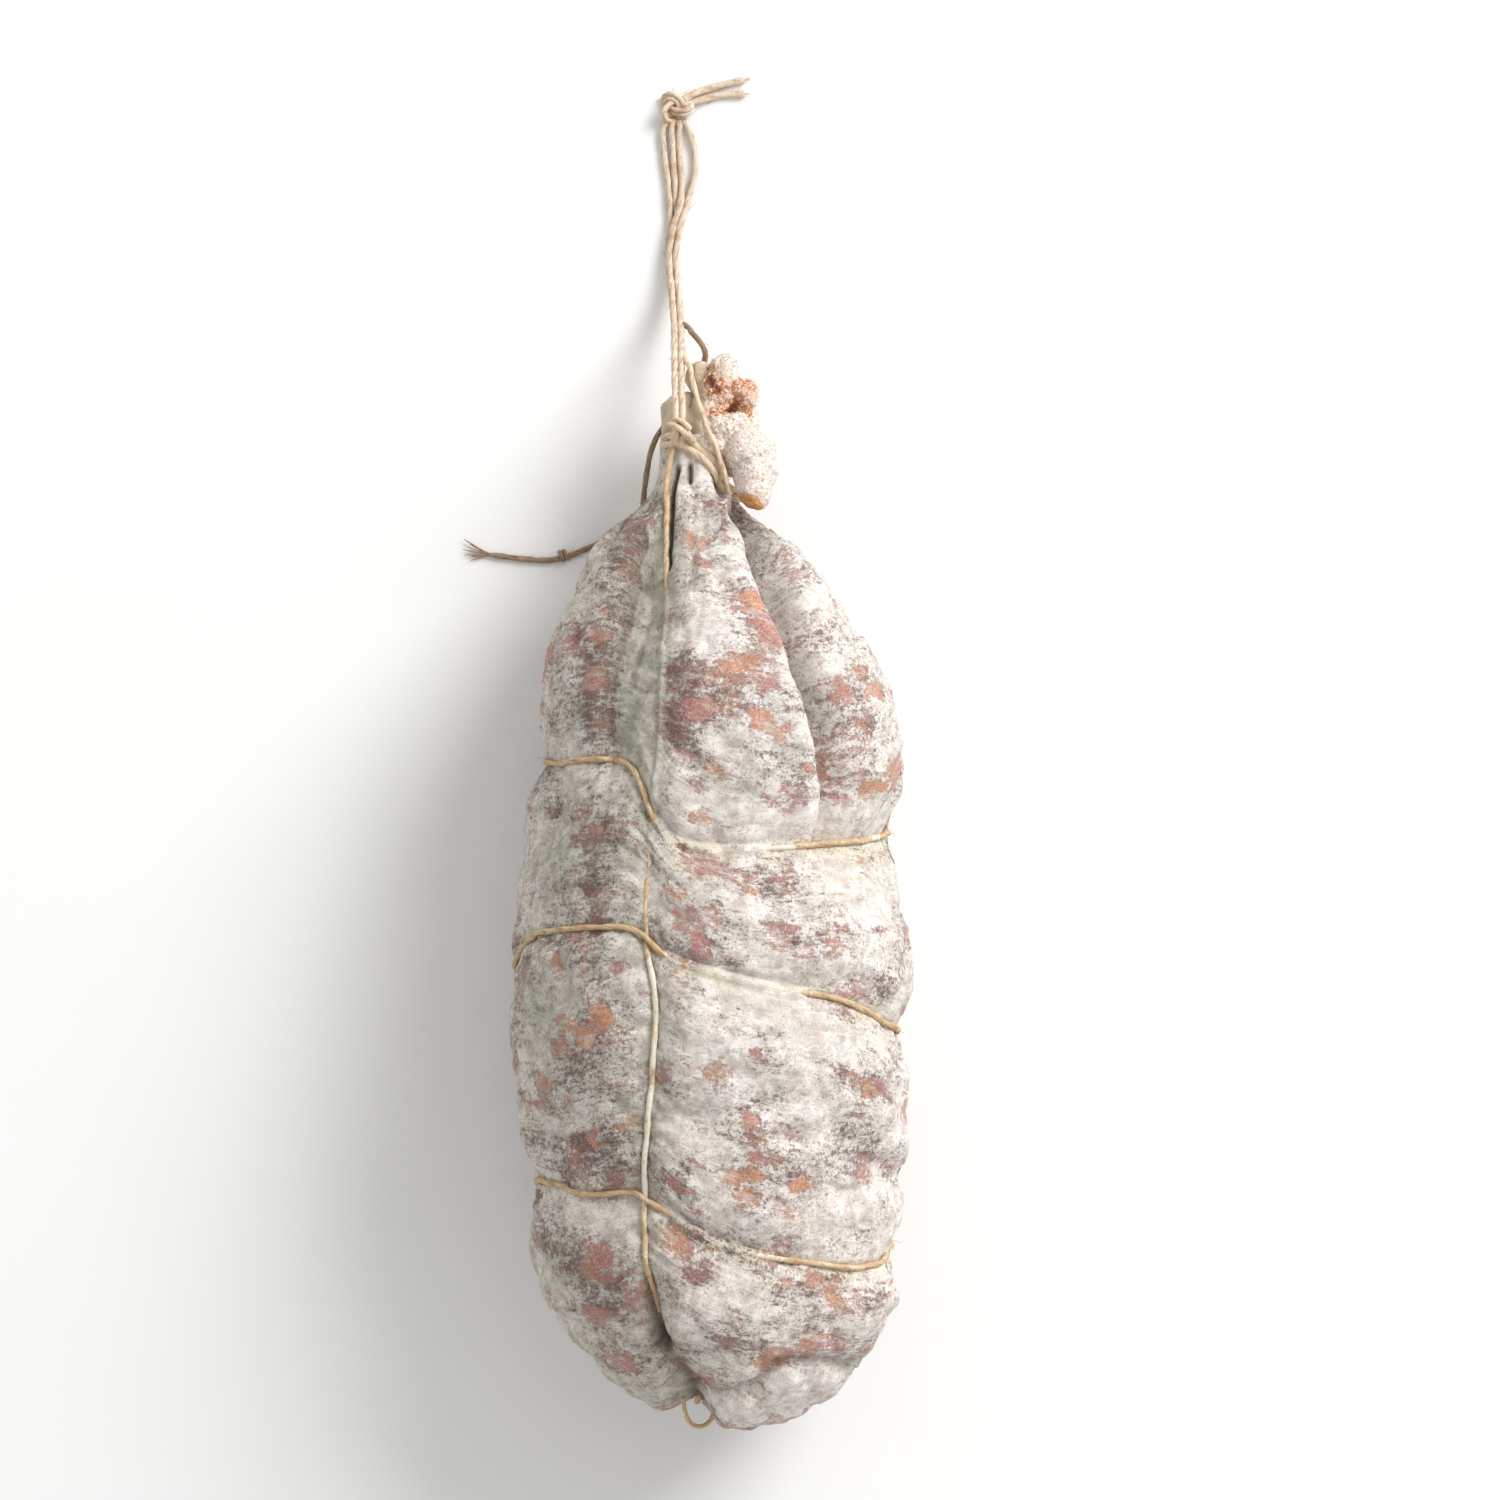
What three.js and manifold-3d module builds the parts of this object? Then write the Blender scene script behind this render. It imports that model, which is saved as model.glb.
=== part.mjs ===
// A whole cured sausage in its natural casing, tied with twine.
// It lies on its back: +Z is up and out of its best side, +Y runs to the tied neck,
// and the surface that it rests on is z = 0. All sizes are in millimetres.
import * as THREE from 'three';
import { mergeVertices } from 'three/addons/utils/BufferGeometryUtils.js';
import Module from 'manifold-3d';

// Driving dimensions
const TWINE = 1.5;              // diameter of the twine
const GAP = 0.3;                // air left between pieces that touch
const FACET_ROOM = 0.6;         // room for the flat facets of the skin under a strand
const FLATTENING = 0.94;        // depth of the sausage over its width
const LOW_END = -137;           // y of the rounded lower end
const CAP_LENGTH = 50;          // length of the rounded lower end
const NECK_END = 112;           // y at which the neck ends, inside the gathered knob
const RING_DEPTH = 2.0;         // how far a ring of twine draws the skin in
const RING_DEPTH_BELOW = 5.0;   // the same where the sausage rests on it
const RING_REACH = 7.5;         // how far to each side of a ring the skin is drawn in
const FURROW_REACH = 5.5;       // how far to each side of a lengthwise strand
const CROSSING_LIFT = 2.7;      // rise of a strand where it passes over another
const CROSSING_REACH = 5;
const SKIN_COLUMNS = 40;
const SKIN_ROWS = [13, 7, 9, 12];   // between neck, three rings and lower end

// Outline along the length: y and a size in mm, joined smoothly
const HALF_WIDTH = [
  [-87, 46.4], [-47, 49], [-17, 50], [-3, 47.4], [12, 46.2], [37, 45.4], [54, 42], [67, 35.8],
  [78, 29], [86, 22.2], [93, 14.2], [98, 10], [103, 8.6], [112, 8.6],
];
const MIDDLE_X = [
  [-137, 7], [-107, 3.4], [-60, 1.4], [-17, 0.4], [12, 0.9], [37, 3], [67, -0.5], [93, -3.8], [112, -3.4],
];
const MIDDLE_Z = [
  [-137, 42], [-119, 40.6], [-92, 42.2], [-60, 44.4], [-17, 45.7], [12, 43.5], [37, 41.8],
  [54, 40], [67, 38], [78, 35.6], [86, 33.6], [93, 31.3], [99, 29.3], [112, 26.5],
];

// Lines on the skin: [degrees from the top towards +X, y]
const RING_LINES = [
  [[-180, 22], [-145, 27], [-105, 30], [-66, 29.8], [-40, 31], [-31, 29], [-24, 23], [-19, 16],
    [-12, 10.8], [0, 8.6], [22, 8.8], [44, 10], [67, 10.6], [110, 13], [150, 18], [180, 22]],
  [[-180, -29], [-140, -28], [-105, -26], [-90, -20.5], [-76, -14.2], [-58, -11.8], [-27, -10.4],
    [-20, -12.4], [-13, -17.8], [0, -21.9], [18, -25.9], [38, -28.2], [56, -32], [72, -36],
    [110, -38], [150, -33], [180, -29]],
  [[-180, -84], [-130, -79], [-90, -75], [-67, -75.5], [-45, -77.8], [-27, -77.2], [-19, -80.2],
    [-7, -86.5], [8, -91.6], [30, -94.4], [48, -96], [66, -95.6], [88, -93], [112, -88.5],
    [150, -85.5], [180, -84]],
];
const FRONT_STRAND = [
  [-30, 109], [-35, 99], [-25, 91], [-18.5, 82], [-17.5, 66], [-19, 48], [-20, 30], [-19.5, 8], [-19.8, -12],
  [-16.5, -26], [-16.5, -38], [-19, -54], [-23, -76], [-23.5, -98], [-25, -116],
];
const BACK_STRAND = [[154, -112], [159, -90], [160, -30], [160, 30], [159, 60], [157, 80], [157, 90]];
const LEFT_STRAND = [
  [-128, 90], [-116, 78], [-109, 62], [-105, 40], [-104, 0], [-104, -60], [-102, -96], [-98, -116],
];
const RIGHT_STRAND = [[97, -116], [97, -96], [97, -60], [97, 0], [97, 40], [98, 70], [101, 82], [103, 88.5]];
// Places on the lower end: [x, z]
const FRONT_TO_BACK_BELOW = [[-6, 66], [-4.5, 52], [-4, 41], [-2.5, 28], [2, 17]];
const LEFT_TO_RIGHT_BELOW = [[-24, 38.5], [-14, 40.2], [-4, 41], [8, 41], [20, 40], [31, 38.6]];
// Folds that the drying skin has drawn: [degrees, y], depth, reach
const FOLDS = [
  {
    line: [[44, 92], [33, 86], [26, 76], [26.5, 62], [28, 48], [31, 34], [35.5, 20], [38, 10]],
    depth: 5.5,
    reach: 5,
  },
  { line: [[-37, 84], [-34, 70], [-36, 54], [-39, 40], [-41, 33]], depth: 2.6, reach: 5 },
  { line: [[-28, 62], [-30, 48], [-31, 36]], depth: 1.6, reach: 9 },
  { line: [[-14, -58], [5, -65], [26, -64], [45, -66], [70, -72]], depth: 1.2, reach: 6 },
  { line: [[-14, -128], [12, -126], [24, -120], [33, -119], [52, -120], [74, -122]], depth: 2.2, reach: 5 },
];

const STRAND_SITS = TWINE / 2 + GAP + FACET_ROOM;
const DEGREE = Math.PI / 180;

// Smooth value at y of a list of [y, value] pairs, by cubic pieces
function valueAt(list, y) {
  const last = list.length - 1;
  if (y <= list[0][0]) return list[0][1];
  if (y >= list[last][0]) return list[last][1];
  let i = 0;
  while (list[i + 1][0] < y) i += 1;
  const slope = (k) => {
    const a = list[Math.max(k - 1, 0)];
    const b = list[Math.min(k + 1, last)];
    return (b[1] - a[1]) / (b[0] - a[0]);
  };
  const [y0, v0] = list[i];
  const [y1, v1] = list[i + 1];
  const step = y1 - y0;
  const t = (y - y0) / step;
  const rise = t * t * (3 - 2 * t);
  return v0 + (v1 - v0) * rise
    + step * (slope(i) * (t - 2 * t * t + t ** 3) + slope(i + 1) * (t ** 3 - t * t));
}

// Half width: a list along the body, and an ellipse over the rounded lower end
function halfWidth(y) {
  const fromCap = LOW_END + CAP_LENGTH - y;
  if (fromCap <= 0) return valueAt(HALF_WIDTH, y);
  const ratio = Math.min(fromCap / CAP_LENGTH, 1);
  return HALF_WIDTH[0][1] * Math.sqrt(1 - ratio * ratio);
}

// Point of the plain body, before twine and drying have shaped it
function plainPoint(degrees, y) {
  const width = halfWidth(y);
  const x = valueAt(MIDDLE_X, y) + width * Math.sin(degrees * DEGREE);
  const z = valueAt(MIDDLE_Z, y) + width * FLATTENING * Math.cos(degrees * DEGREE);
  return new THREE.Vector3(x, y, z);
}

// Outward direction of the plain body, from two short steps on it
function plainNormal(degrees, y) {
  if (y - LOW_END < 0.02) return new THREE.Vector3(0, -1, 0);
  const step = Math.min(0.5, (y - LOW_END) / 2);
  const around = plainPoint(degrees + 0.5, y).sub(plainPoint(degrees - 0.5, y));
  const along = plainPoint(degrees, y + step).sub(plainPoint(degrees, y - step));
  return around.cross(along).normalize();
}

// Station [degrees, y] on the lower end that faces the viewer from below at x, z
function stationBelow(x, z) {
  let low = LOW_END;
  let high = LOW_END + CAP_LENGTH;
  for (let i = 0; i < 40; i += 1) {
    const y = (low + high) / 2;
    const width = Math.max(halfWidth(y), 1e-6);
    const across = (x - valueAt(MIDDLE_X, y)) / width;
    const upward = (z - valueAt(MIDDLE_Z, y)) / (width * FLATTENING);
    if (Math.hypot(across, upward) > 1) low = y;
    else high = y;
  }
  return [angleOf(x, high, z), high];
}

function angleOf(x, y, z) {
  return Math.atan2(x - valueAt(MIDDLE_X, y), (z - valueAt(MIDDLE_Z, y)) / FLATTENING) / DEGREE;
}

function stationOf(point) {
  if (point.y < LOW_END + 20) return stationBelow(point.x, point.z);
  return [angleOf(point.x, point.y, point.z), point.y];
}

// A line through stations, as evenly spaced points of the plain body
function plainLine(stations, spacing = 4) {
  const curve = new THREE.CatmullRomCurve3(stations.map(([a, y]) => plainPoint(a, y)), false, 'centripetal');
  return curve.getSpacedPoints(Math.ceil(curve.getLength() / spacing));
}

function distanceToLine(point, line) {
  const nearest = new THREE.Vector3();
  const piece = new THREE.Line3();
  let best = Infinity;
  for (let i = 0; i + 1 < line.length; i += 1) {
    piece.set(line[i], line[i + 1]).closestPointToPoint(point, true, nearest);
    best = Math.min(best, nearest.distanceTo(point));
  }
  return best;
}

const hollow = (distance, reach) => Math.exp(-((distance / reach) ** 2));
const ramp = (value, from, to) => THREE.MathUtils.smoothstep((value - from) / (to - from), 0, 1);

const frontToBack = [
  ...FRONT_STRAND,
  ...FRONT_TO_BACK_BELOW.map(([x, z]) => stationBelow(x, z)),
  ...BACK_STRAND,
];
const leftToRight = [
  ...LEFT_STRAND,
  ...LEFT_TO_RIGHT_BELOW.map(([x, z]) => stationBelow(x, z)),
  ...RIGHT_STRAND,
];
const frontToBackLine = plainLine(frontToBack);
const leftToRightLine = plainLine(leftToRight);
const foldLines = FOLDS.map((fold) => plainLine(fold.line));

// How far the skin stands out from the plain body at a station
function relief(degrees, y) {
  const point = plainPoint(degrees, y);
  const down = -Math.cos(degrees * DEGREE);
  const onBelly = ramp(down, 0.5, 0.95) * ramp(y, LOW_END + 12, LOW_END + 30);
  const ringDepth = THREE.MathUtils.lerp(RING_DEPTH, RING_DEPTH_BELOW, onBelly);
  let rings = 0;
  for (const line of RING_LINES) {
    rings = Math.max(rings, ringDepth * hollow(y - valueAt(line, degrees), RING_REACH));
  }
  const atLowEnd = ramp(-y, 108, 128);
  const furrowDepth = THREE.MathUtils.lerp(1.6, 3.2, onBelly);
  const endDepth = THREE.MathUtils.lerp(3, 7, ramp(point.z, 20, 38));
  const cleftDepth = THREE.MathUtils.lerp(furrowDepth, endDepth, atLowEnd);
  const cleft = cleftDepth * hollow(distanceToLine(point, frontToBackLine), FURROW_REACH);
  const sideGap = distanceToLine(point, leftToRightLine);
  const side = THREE.MathUtils.lerp(1.6, 3.4, atLowEnd) * hollow(sideGap, FURROW_REACH);
  let folds = 0;
  FOLDS.forEach((fold, k) => {
    folds += fold.depth * hollow(distanceToLine(point, foldLines[k]), fold.reach);
  });
  const swell = 0.7 * Math.sin(point.x / 11 + 1.3) * Math.sin(y / 13 + 0.4) * Math.sin(point.z / 12 + 2.1);
  const quiet = 1 - ramp(y, 78, 98);
  return quiet * (swell - folds) - Math.max(rings, cleft * quiet, side * quiet);
}

// Point at a height over the skin
function skinPoint(degrees, y, height = 0) {
  const out = plainNormal(degrees, y).multiplyScalar(relief(degrees, y) + height);
  return plainPoint(degrees, y).add(out);
}

// Columns of the skin's grid follow the four lengthwise strands, rows follow the rings
function columnAngle(share, y) {
  const level = Math.max(y, LOW_END + 22);
  const at = (list) => valueAt([...list].sort((a, b) => a[1] - b[1]).map(([a, b]) => [b, a]), level);
  const back = at(BACK_STRAND);
  const stops = [back - 360, at(LEFT_STRAND), at(FRONT_STRAND), at(RIGHT_STRAND), back];
  const place = share * 4;
  const k = Math.min(Math.floor(place), 3);
  return THREE.MathUtils.lerp(stops[k], stops[k + 1], place - k);
}

function rowHeight(section, share, degrees) {
  const turned = THREE.MathUtils.euclideanModulo(degrees + 180, 360) - 180;
  const ring = (k) => valueAt(RING_LINES[k], turned);
  if (section === 0) return THREE.MathUtils.lerp(NECK_END, ring(0), share);
  if (section < 3) return THREE.MathUtils.lerp(ring(section - 1), ring(section), share);
  return LOW_END + (ring(2) - LOW_END) * (1 - Math.sin(share * Math.PI / 2));
}

// The body: closed at the neck by a fan and at the lower end by the last point
function bodyGeometry() {
  const rows = [];
  SKIN_ROWS.forEach((count, section) => {
    for (let i = section === 0 ? 0 : 1; i <= count; i += 1) rows.push([section, i / count]);
  });
  rows.pop();
  const places = [];
  for (const [section, share] of rows) {
    for (let j = 0; j < SKIN_COLUMNS; j += 1) {
      let y = rowHeight(section, share, -20);
      let degrees = 0;
      for (let k = 0; k < 4; k += 1) {
        degrees = columnAngle(j / SKIN_COLUMNS, y);
        y = rowHeight(section, share, degrees);
      }
      const turned = THREE.MathUtils.euclideanModulo(degrees + 180, 360) - 180;
      const point = skinPoint(turned, y);
      point.z = Math.max(point.z, 0);
      places.push(point.x, point.y, point.z);
    }
  }
  const faces = [];
  for (let i = 0; i + 1 < rows.length; i += 1) {
    for (let j = 0; j < SKIN_COLUMNS; j += 1) {
      const next = (j + 1) % SKIN_COLUMNS;
      const a = i * SKIN_COLUMNS + j;
      const b = i * SKIN_COLUMNS + next;
      faces.push(a, b, a + SKIN_COLUMNS, b, b + SKIN_COLUMNS, a + SKIN_COLUMNS);
    }
  }
  const neckMiddle = places.length / 3;
  places.push(valueAt(MIDDLE_X, NECK_END), NECK_END + 1, valueAt(MIDDLE_Z, NECK_END));
  const lowMiddle = places.length / 3;
  const lowest = skinPoint(0, LOW_END);
  places.push(lowest.x, lowest.y, lowest.z);
  const lastRow = (rows.length - 1) * SKIN_COLUMNS;
  for (let j = 0; j < SKIN_COLUMNS; j += 1) {
    const next = (j + 1) % SKIN_COLUMNS;
    faces.push(neckMiddle, next, j);
    faces.push(lowMiddle, lastRow + j, lastRow + next);
  }
  return closedGeometry(places, faces);
}

// The gathered end of the casing: lumps (middle and radius) around one centre
const KNOB_CENTRE = new THREE.Vector3(3, 113.5, 27);
const KNOB_LUMPS = [
  [[3, 113.5, 27], 9], [[4, 127.6, 27.5], 4.2], [[8.9, 121.6, 30.5], 3.7], [[10.4, 107.2, 34.5], 6],
  [[11.2, 98, 38.2], 4.3], [[3.4, 123.5, 28], 6], [[-5.6, 118, 23.5], 5], [[-2, 126, 25], 3.6],
  [[6, 116, 19], 6], [[-5.4, 113, 25], 6.2], [[7, 106.4, 28], 4.6],
];
const KNOB_HOLLOW = { at: [6.2, 118.5, 36], depth: 4.5, spread: 0.34 };
const KNOB_AROUND = 22;
const KNOB_ALONG = 14;
const KNOB_BLEND = 7;           // higher is a sharper join between lumps

// Distance from the knob's centre to its outside: where a ray leaves the lumps, blended
function knobRadius(direction) {
  let sum = 0;
  for (const [middle, radius] of KNOB_LUMPS) {
    const to = new THREE.Vector3(...middle).sub(KNOB_CENTRE);
    const ahead = to.dot(direction);
    const inside = radius * radius - to.lengthSq() + ahead * ahead;
    const leaves = inside > 0 ? ahead + Math.sqrt(inside) : 0;
    if (leaves > 0) sum += leaves ** KNOB_BLEND;
  }
  const toHollow = new THREE.Vector3(...KNOB_HOLLOW.at).sub(KNOB_CENTRE).normalize();
  const dip = KNOB_HOLLOW.depth * Math.exp(-((direction.angleTo(toHollow) / KNOB_HOLLOW.spread) ** 2));
  return sum ** (1 / KNOB_BLEND) - dip;
}

function knobGeometry() {
  const places = [];
  const faces = [];
  const direction = new THREE.Vector3();
  const put = () => {
    const point = direction.clone().multiplyScalar(knobRadius(direction)).add(KNOB_CENTRE);
    places.push(point.x, point.y, point.z);
  };
  for (let i = 1; i < KNOB_ALONG; i += 1) {
    const tilt = Math.PI * i / KNOB_ALONG;
    for (let j = 0; j < KNOB_AROUND; j += 1) {
      const turn = 2 * Math.PI * j / KNOB_AROUND;
      direction.set(Math.sin(tilt) * Math.sin(turn), Math.cos(tilt), Math.sin(tilt) * Math.cos(turn));
      put();
    }
  }
  const top = places.length / 3;
  direction.set(0, 1, 0);
  put();
  direction.set(0, -1, 0);
  put();
  for (let i = 0; i + 2 < KNOB_ALONG; i += 1) {
    for (let j = 0; j < KNOB_AROUND; j += 1) {
      const next = (j + 1) % KNOB_AROUND;
      const a = i * KNOB_AROUND + j;
      const b = i * KNOB_AROUND + next;
      faces.push(a, b, a + KNOB_AROUND, b, b + KNOB_AROUND, a + KNOB_AROUND);
    }
  }
  const lastRow = (KNOB_ALONG - 2) * KNOB_AROUND;
  for (let j = 0; j < KNOB_AROUND; j += 1) {
    const next = (j + 1) % KNOB_AROUND;
    faces.push(top, next, j);
    faces.push(top + 1, lastRow + j, lastRow + next);
  }
  return closedGeometry(places, faces);
}

// Mesh from places and faces, turned so that its faces point out
function closedGeometry(places, faces) {
  const geometry = new THREE.BufferGeometry();
  geometry.setAttribute('position', new THREE.Float32BufferAttribute(places, 3));
  const index = volumeOf(places, faces) < 0 ? reversed(faces) : faces;
  geometry.setIndex(index);
  return geometry;
}

function volumeOf(places, faces) {
  const corner = (i) => new THREE.Vector3().fromArray(places, 3 * i);
  let sum = 0;
  for (let i = 0; i < faces.length; i += 3) {
    sum += corner(faces[i]).dot(corner(faces[i + 1]).cross(corner(faces[i + 2]))) / 6;
  }
  return sum;
}

function reversed(faces) {
  const out = [];
  for (let i = 0; i < faces.length; i += 3) out.push(faces[i], faces[i + 2], faces[i + 1]);
  return out;
}

// Join of two closed shapes
const wasm = await Module();
wasm.setup();

function solidOf(geometry) {
  const merged = mergeVertices(geometry, 1e-4);
  return new wasm.Manifold(new wasm.Mesh({
    numProp: 3,
    vertProperties: Float32Array.from(merged.attributes.position.array),
    triVerts: Uint32Array.from(merged.index.array),
  }));
}

function geometryOf(solid) {
  const mesh = solid.getMesh();
  const geometry = new THREE.BufferGeometry();
  geometry.setAttribute('position', new THREE.Float32BufferAttribute(mesh.vertProperties, 3));
  geometry.setIndex(Array.from(mesh.triVerts));
  return geometry;
}

// Twine: a round section drawn along a curve
function roundSection(radius, sides) {
  const corners = [];
  for (let i = 0; i < sides; i += 1) {
    const turn = 2 * Math.PI * (i + 0.5) / sides;
    corners.push(new THREE.Vector2(radius * Math.cos(turn), radius * Math.sin(turn)));
  }
  return new THREE.Shape(corners);
}

function twineGeometry(points, spacing, sides, diameter = TWINE) {
  const path = new THREE.CatmullRomCurve3(points, false, 'centripetal');
  path.arcLengthDivisions = 600;
  const steps = Math.max(4, Math.round(path.getLength() / spacing));
  return new THREE.ExtrudeGeometry(roundSection(diameter / 2, sides), {
    steps,
    bevelEnabled: false,
    extrudePath: path,
  });
}

// Points over the skin along a line of the plain body, with a rise that the place decides
function laidOver(line, riseAt) {
  return line.map((point) => {
    const [degrees, y] = stationOf(point);
    return skinPoint(degrees, y, STRAND_SITS + riseAt(point));
  });
}

const overTie = (point) => 2.2 * ramp(point.y, 90, 97);
const overStrands = (point) => {
  const near = Math.min(distanceToLine(point, frontToBackLine), distanceToLine(point, leftToRightLine));
  const lift = THREE.MathUtils.lerp(CROSSING_LIFT, 1.45 * CROSSING_LIFT, ramp(-point.z, -25, -10));
  return lift * hollow(near, CROSSING_REACH);
};

// Front strand, under the lower end and up the back
function frontToBackTwine() {
  const line = plainLine(frontToBack, 5);
  const rise = (point) => {
    const near = distanceToLine(point, leftToRightLine);
    const crossing = point.y < -100 ? 1.4 * CROSSING_LIFT * hollow(near, 7) : 0;
    const atNeck = point.z > 20 ? overTie(point) : 0;
    const atLowEnd = 1.1 * ramp(-point.y, 108, 118);
    return crossing + atNeck + atLowEnd;
  };
  return twineGeometry(laidOver(line, rise), 9, 6);
}

// Left strand: it comes from behind the neck, bows out beside it, then goes down the side
const BOW_BESIDE_NECK = [
  [-11.4, 115.6, 19.5], [-14, 112.6, 22.5], [-15.9, 108, 24.6], [-16.4, 103.6, 25], [-16.6, 99, 23.8],
];

function leftToRightTwine() {
  const bow = BOW_BESIDE_NECK.map((at) => new THREE.Vector3(...at));
  const line = plainLine(leftToRight, 5);
  return twineGeometry([...bow, ...laidOver(line, (point) => 0.3 * ramp(-point.y, 108, 118))], 9, 6);
}

// A ring lies over the lengthwise strands; its two ends meet at the back strand
function ringTwine(k) {
  const start = 148;
  const stations = [];
  for (let i = 0; i <= 60; i += 1) {
    const degrees = start - 1.2 - 357.6 * i / 60;
    const turned = THREE.MathUtils.euclideanModulo(degrees + 180, 360) - 180;
    stations.push([turned, valueAt(RING_LINES[k], turned)]);
  }
  const points = stations.map(([degrees, y]) => (
    skinPoint(degrees, y, STRAND_SITS + overStrands(plainPoint(degrees, y)))
  ));
  return twineGeometry(points, 6.4, 6);
}

// Turns around the neck: an arch over the front that comes down further on the right
const TIE = { turns: 2, start: 170, pitch: 2.2, middle: 104.6, rise: 2, slant: 6.6, arch: 1.7, out: 0.15 };

function neckTie() {
  const points = [];
  const perTurn = 14;
  const count = TIE.turns * perTurn;
  for (let i = 0; i <= count; i += 1) {
    const degrees = TIE.start + 360 * i / perTurn;
    const turn = degrees * DEGREE;
    const along = TIE.middle + TIE.pitch * (i / perTurn - TIE.turns / 2);
    const bend = TIE.rise * Math.cos(turn) - TIE.slant * Math.sin(turn) + TIE.arch * Math.cos(2 * turn);
    points.push(skinPoint(degrees, along + bend, STRAND_SITS + TIE.out));
  }
  return twineGeometry(points, 5.2, 6);
}

// Turns of a small hitch or knot: a helix around a straight line
function knotTurns({ from, to, radius, turns, start = 0 }) {
  const a = new THREE.Vector3(...from);
  const b = new THREE.Vector3(...to);
  const axis = b.clone().sub(a).normalize();
  const side = new THREE.Vector3(0, 0, 1).cross(axis).normalize();
  const up = axis.clone().cross(side);
  const points = [];
  const count = Math.round(turns * 10);
  for (let i = 0; i <= count; i += 1) {
    const turn = start + 2 * Math.PI * turns * i / count;
    points.push(a.clone().lerp(b, i / count)
      .addScaledVector(side, radius * Math.cos(turn))
      .addScaledVector(up, radius * Math.sin(turn)));
  }
  return twineGeometry(points, 2 * Math.PI * radius / 8, 6);
}

// An overhand knot pulled into three lobes: sines of one, two and three turns
function lobedKnot({ middle, across, along, rise, turn }) {
  const points = [];
  const count = 42;
  for (let i = 0; i <= count; i += 1) {
    const t = 2 * Math.PI * i / count * 0.97;
    const a = Math.sin(t) + 2 * Math.sin(2 * t);
    const b = Math.cos(t) - 2 * Math.cos(2 * t);
    const c = Math.cos(turn * DEGREE);
    const s = Math.sin(turn * DEGREE);
    points.push(new THREE.Vector3(
      middle[0] + across * (a * c - b * s),
      middle[1] + along * (a * s + b * c),
      middle[2] + rise * Math.sin(3 * t),
    ));
  }
  return twineGeometry(points, 1.5, 6);
}

// Routes of the free twine, in the order from the object to the end
const HANGING_STRANDS = [
  [[-8, 113.4, 39.6], [-8.1, 117.5, 37.7], [-8.3, 122, 34.2], [-8.4, 126, 29.7], [-8.5, 129.8, 24.4],
    [-8.5, 133.4, 19.4], [-8.6, 137.1, 14.4], [-8.8, 141.2, 9.7], [-9.2, 146, 5.6], [-9.8, 151.5, 2.6],
    [-10.3, 157, 1.2], [-10.1, 161.7, 0.9], [-9.8, 166.3, 0.9], [-9.9, 171, 0.9], [-10.2, 175.6, 0.9],
    [-10.8, 180.3, 0.9], [-11.4, 184.9, 0.9], [-11.7, 188.8, 1], [-11.5, 191, 1.2]],
  [[-6.3, 113.4, 39.6], [-6.4, 117.5, 37.7], [-6.6, 122, 34.2], [-6.7, 126, 29.7], [-6.8, 129.8, 24.4],
    [-6.8, 133.4, 19.4], [-6.9, 137.1, 14.4], [-7.1, 141.2, 9.7], [-7.5, 146, 5.6], [-8.1, 151.5, 2.6],
    [-8.6, 157, 1.2], [-8.4, 161.7, 0.9], [-8.1, 166.3, 0.9], [-8.2, 171, 0.9], [-8.5, 175.6, 0.9],
    [-8.8, 180.3, 0.9], [-9.1, 184.9, 0.9], [-9.3, 188.8, 1], [-9.4, 191, 1.2]],
  [[-8, 113.4, 41.5], [-8.1, 117.9, 39.6], [-8.3, 122.9, 35.9], [-8.4, 127.3, 31.1], [-8.5, 131.3, 25.6],
    [-8.5, 135, 20.5], [-8.6, 138.7, 15.5], [-8.8, 142.6, 11], [-9.1, 147.2, 7.2], [-9.6, 152.4, 4.4],
    [-10, 157.4, 3], [-9.6, 161.7, 2.6], [-8.7, 166.3, 2.5], [-7.2, 171, 2.5], [-6.8, 175.6, 1.3],
    [-7.1, 180.3, 0.9], [-7.4, 184.9, 0.9], [-7.4, 188.8, 1], [-7.3, 191, 1.2]],
  [[-6.3, 113.4, 41.5], [-6.4, 117.9, 39.6], [-6.6, 122.9, 35.9], [-6.7, 127.3, 31.1], [-6.8, 131.3, 25.6],
    [-6.8, 135, 20.5], [-6.9, 138.7, 15.5], [-7.1, 142.6, 11], [-7.4, 147.2, 7.2], [-7.9, 152.4, 4.4],
    [-8.3, 157.4, 3], [-7.9, 161.7, 2.6], [-7, 166.3, 2.4], [-5.6, 171, 1.6], [-4.4, 175.2, 0.9],
    [-3.4, 179.9, 0.9], [-3.5, 184.2, 0.9], [-4.4, 188.4, 1], [-5.4, 191, 1.2]],
];
const SIDE_END = [
  [-8.6, 98.2, 19], [-11, 97.2, 15.8], [-13.2, 96, 12.8], [-15.3, 94.7, 10.2], [-17.6, 93.1, 7.4],
  [-20, 90.9, 4.8], [-22.8, 88.6, 2.6],
  [-26, 86.2, 1.5], [-29, 84.7, 0.9], [-32.5, 83.2, 0.9], [-36, 81.8, 0.9], [-39.5, 81, 0.9],
  [-43, 80.9, 0.9], [-46.5, 81.2, 0.9], [-50, 81.6, 0.9], [-53, 82, 0.9], [-56, 82.4, 0.9],
];
const NECK_LOOP = [
  [-4.4, 136.9, 17.6], [-2.1, 135.6, 20.6], [-0.8, 133.1, 20.8], [-1.2, 129.8, 19.2],
  [-2, 126.4, 16.8], [-3, 122.8, 15.4], [-3.6, 119.6, 15],
];
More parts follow.
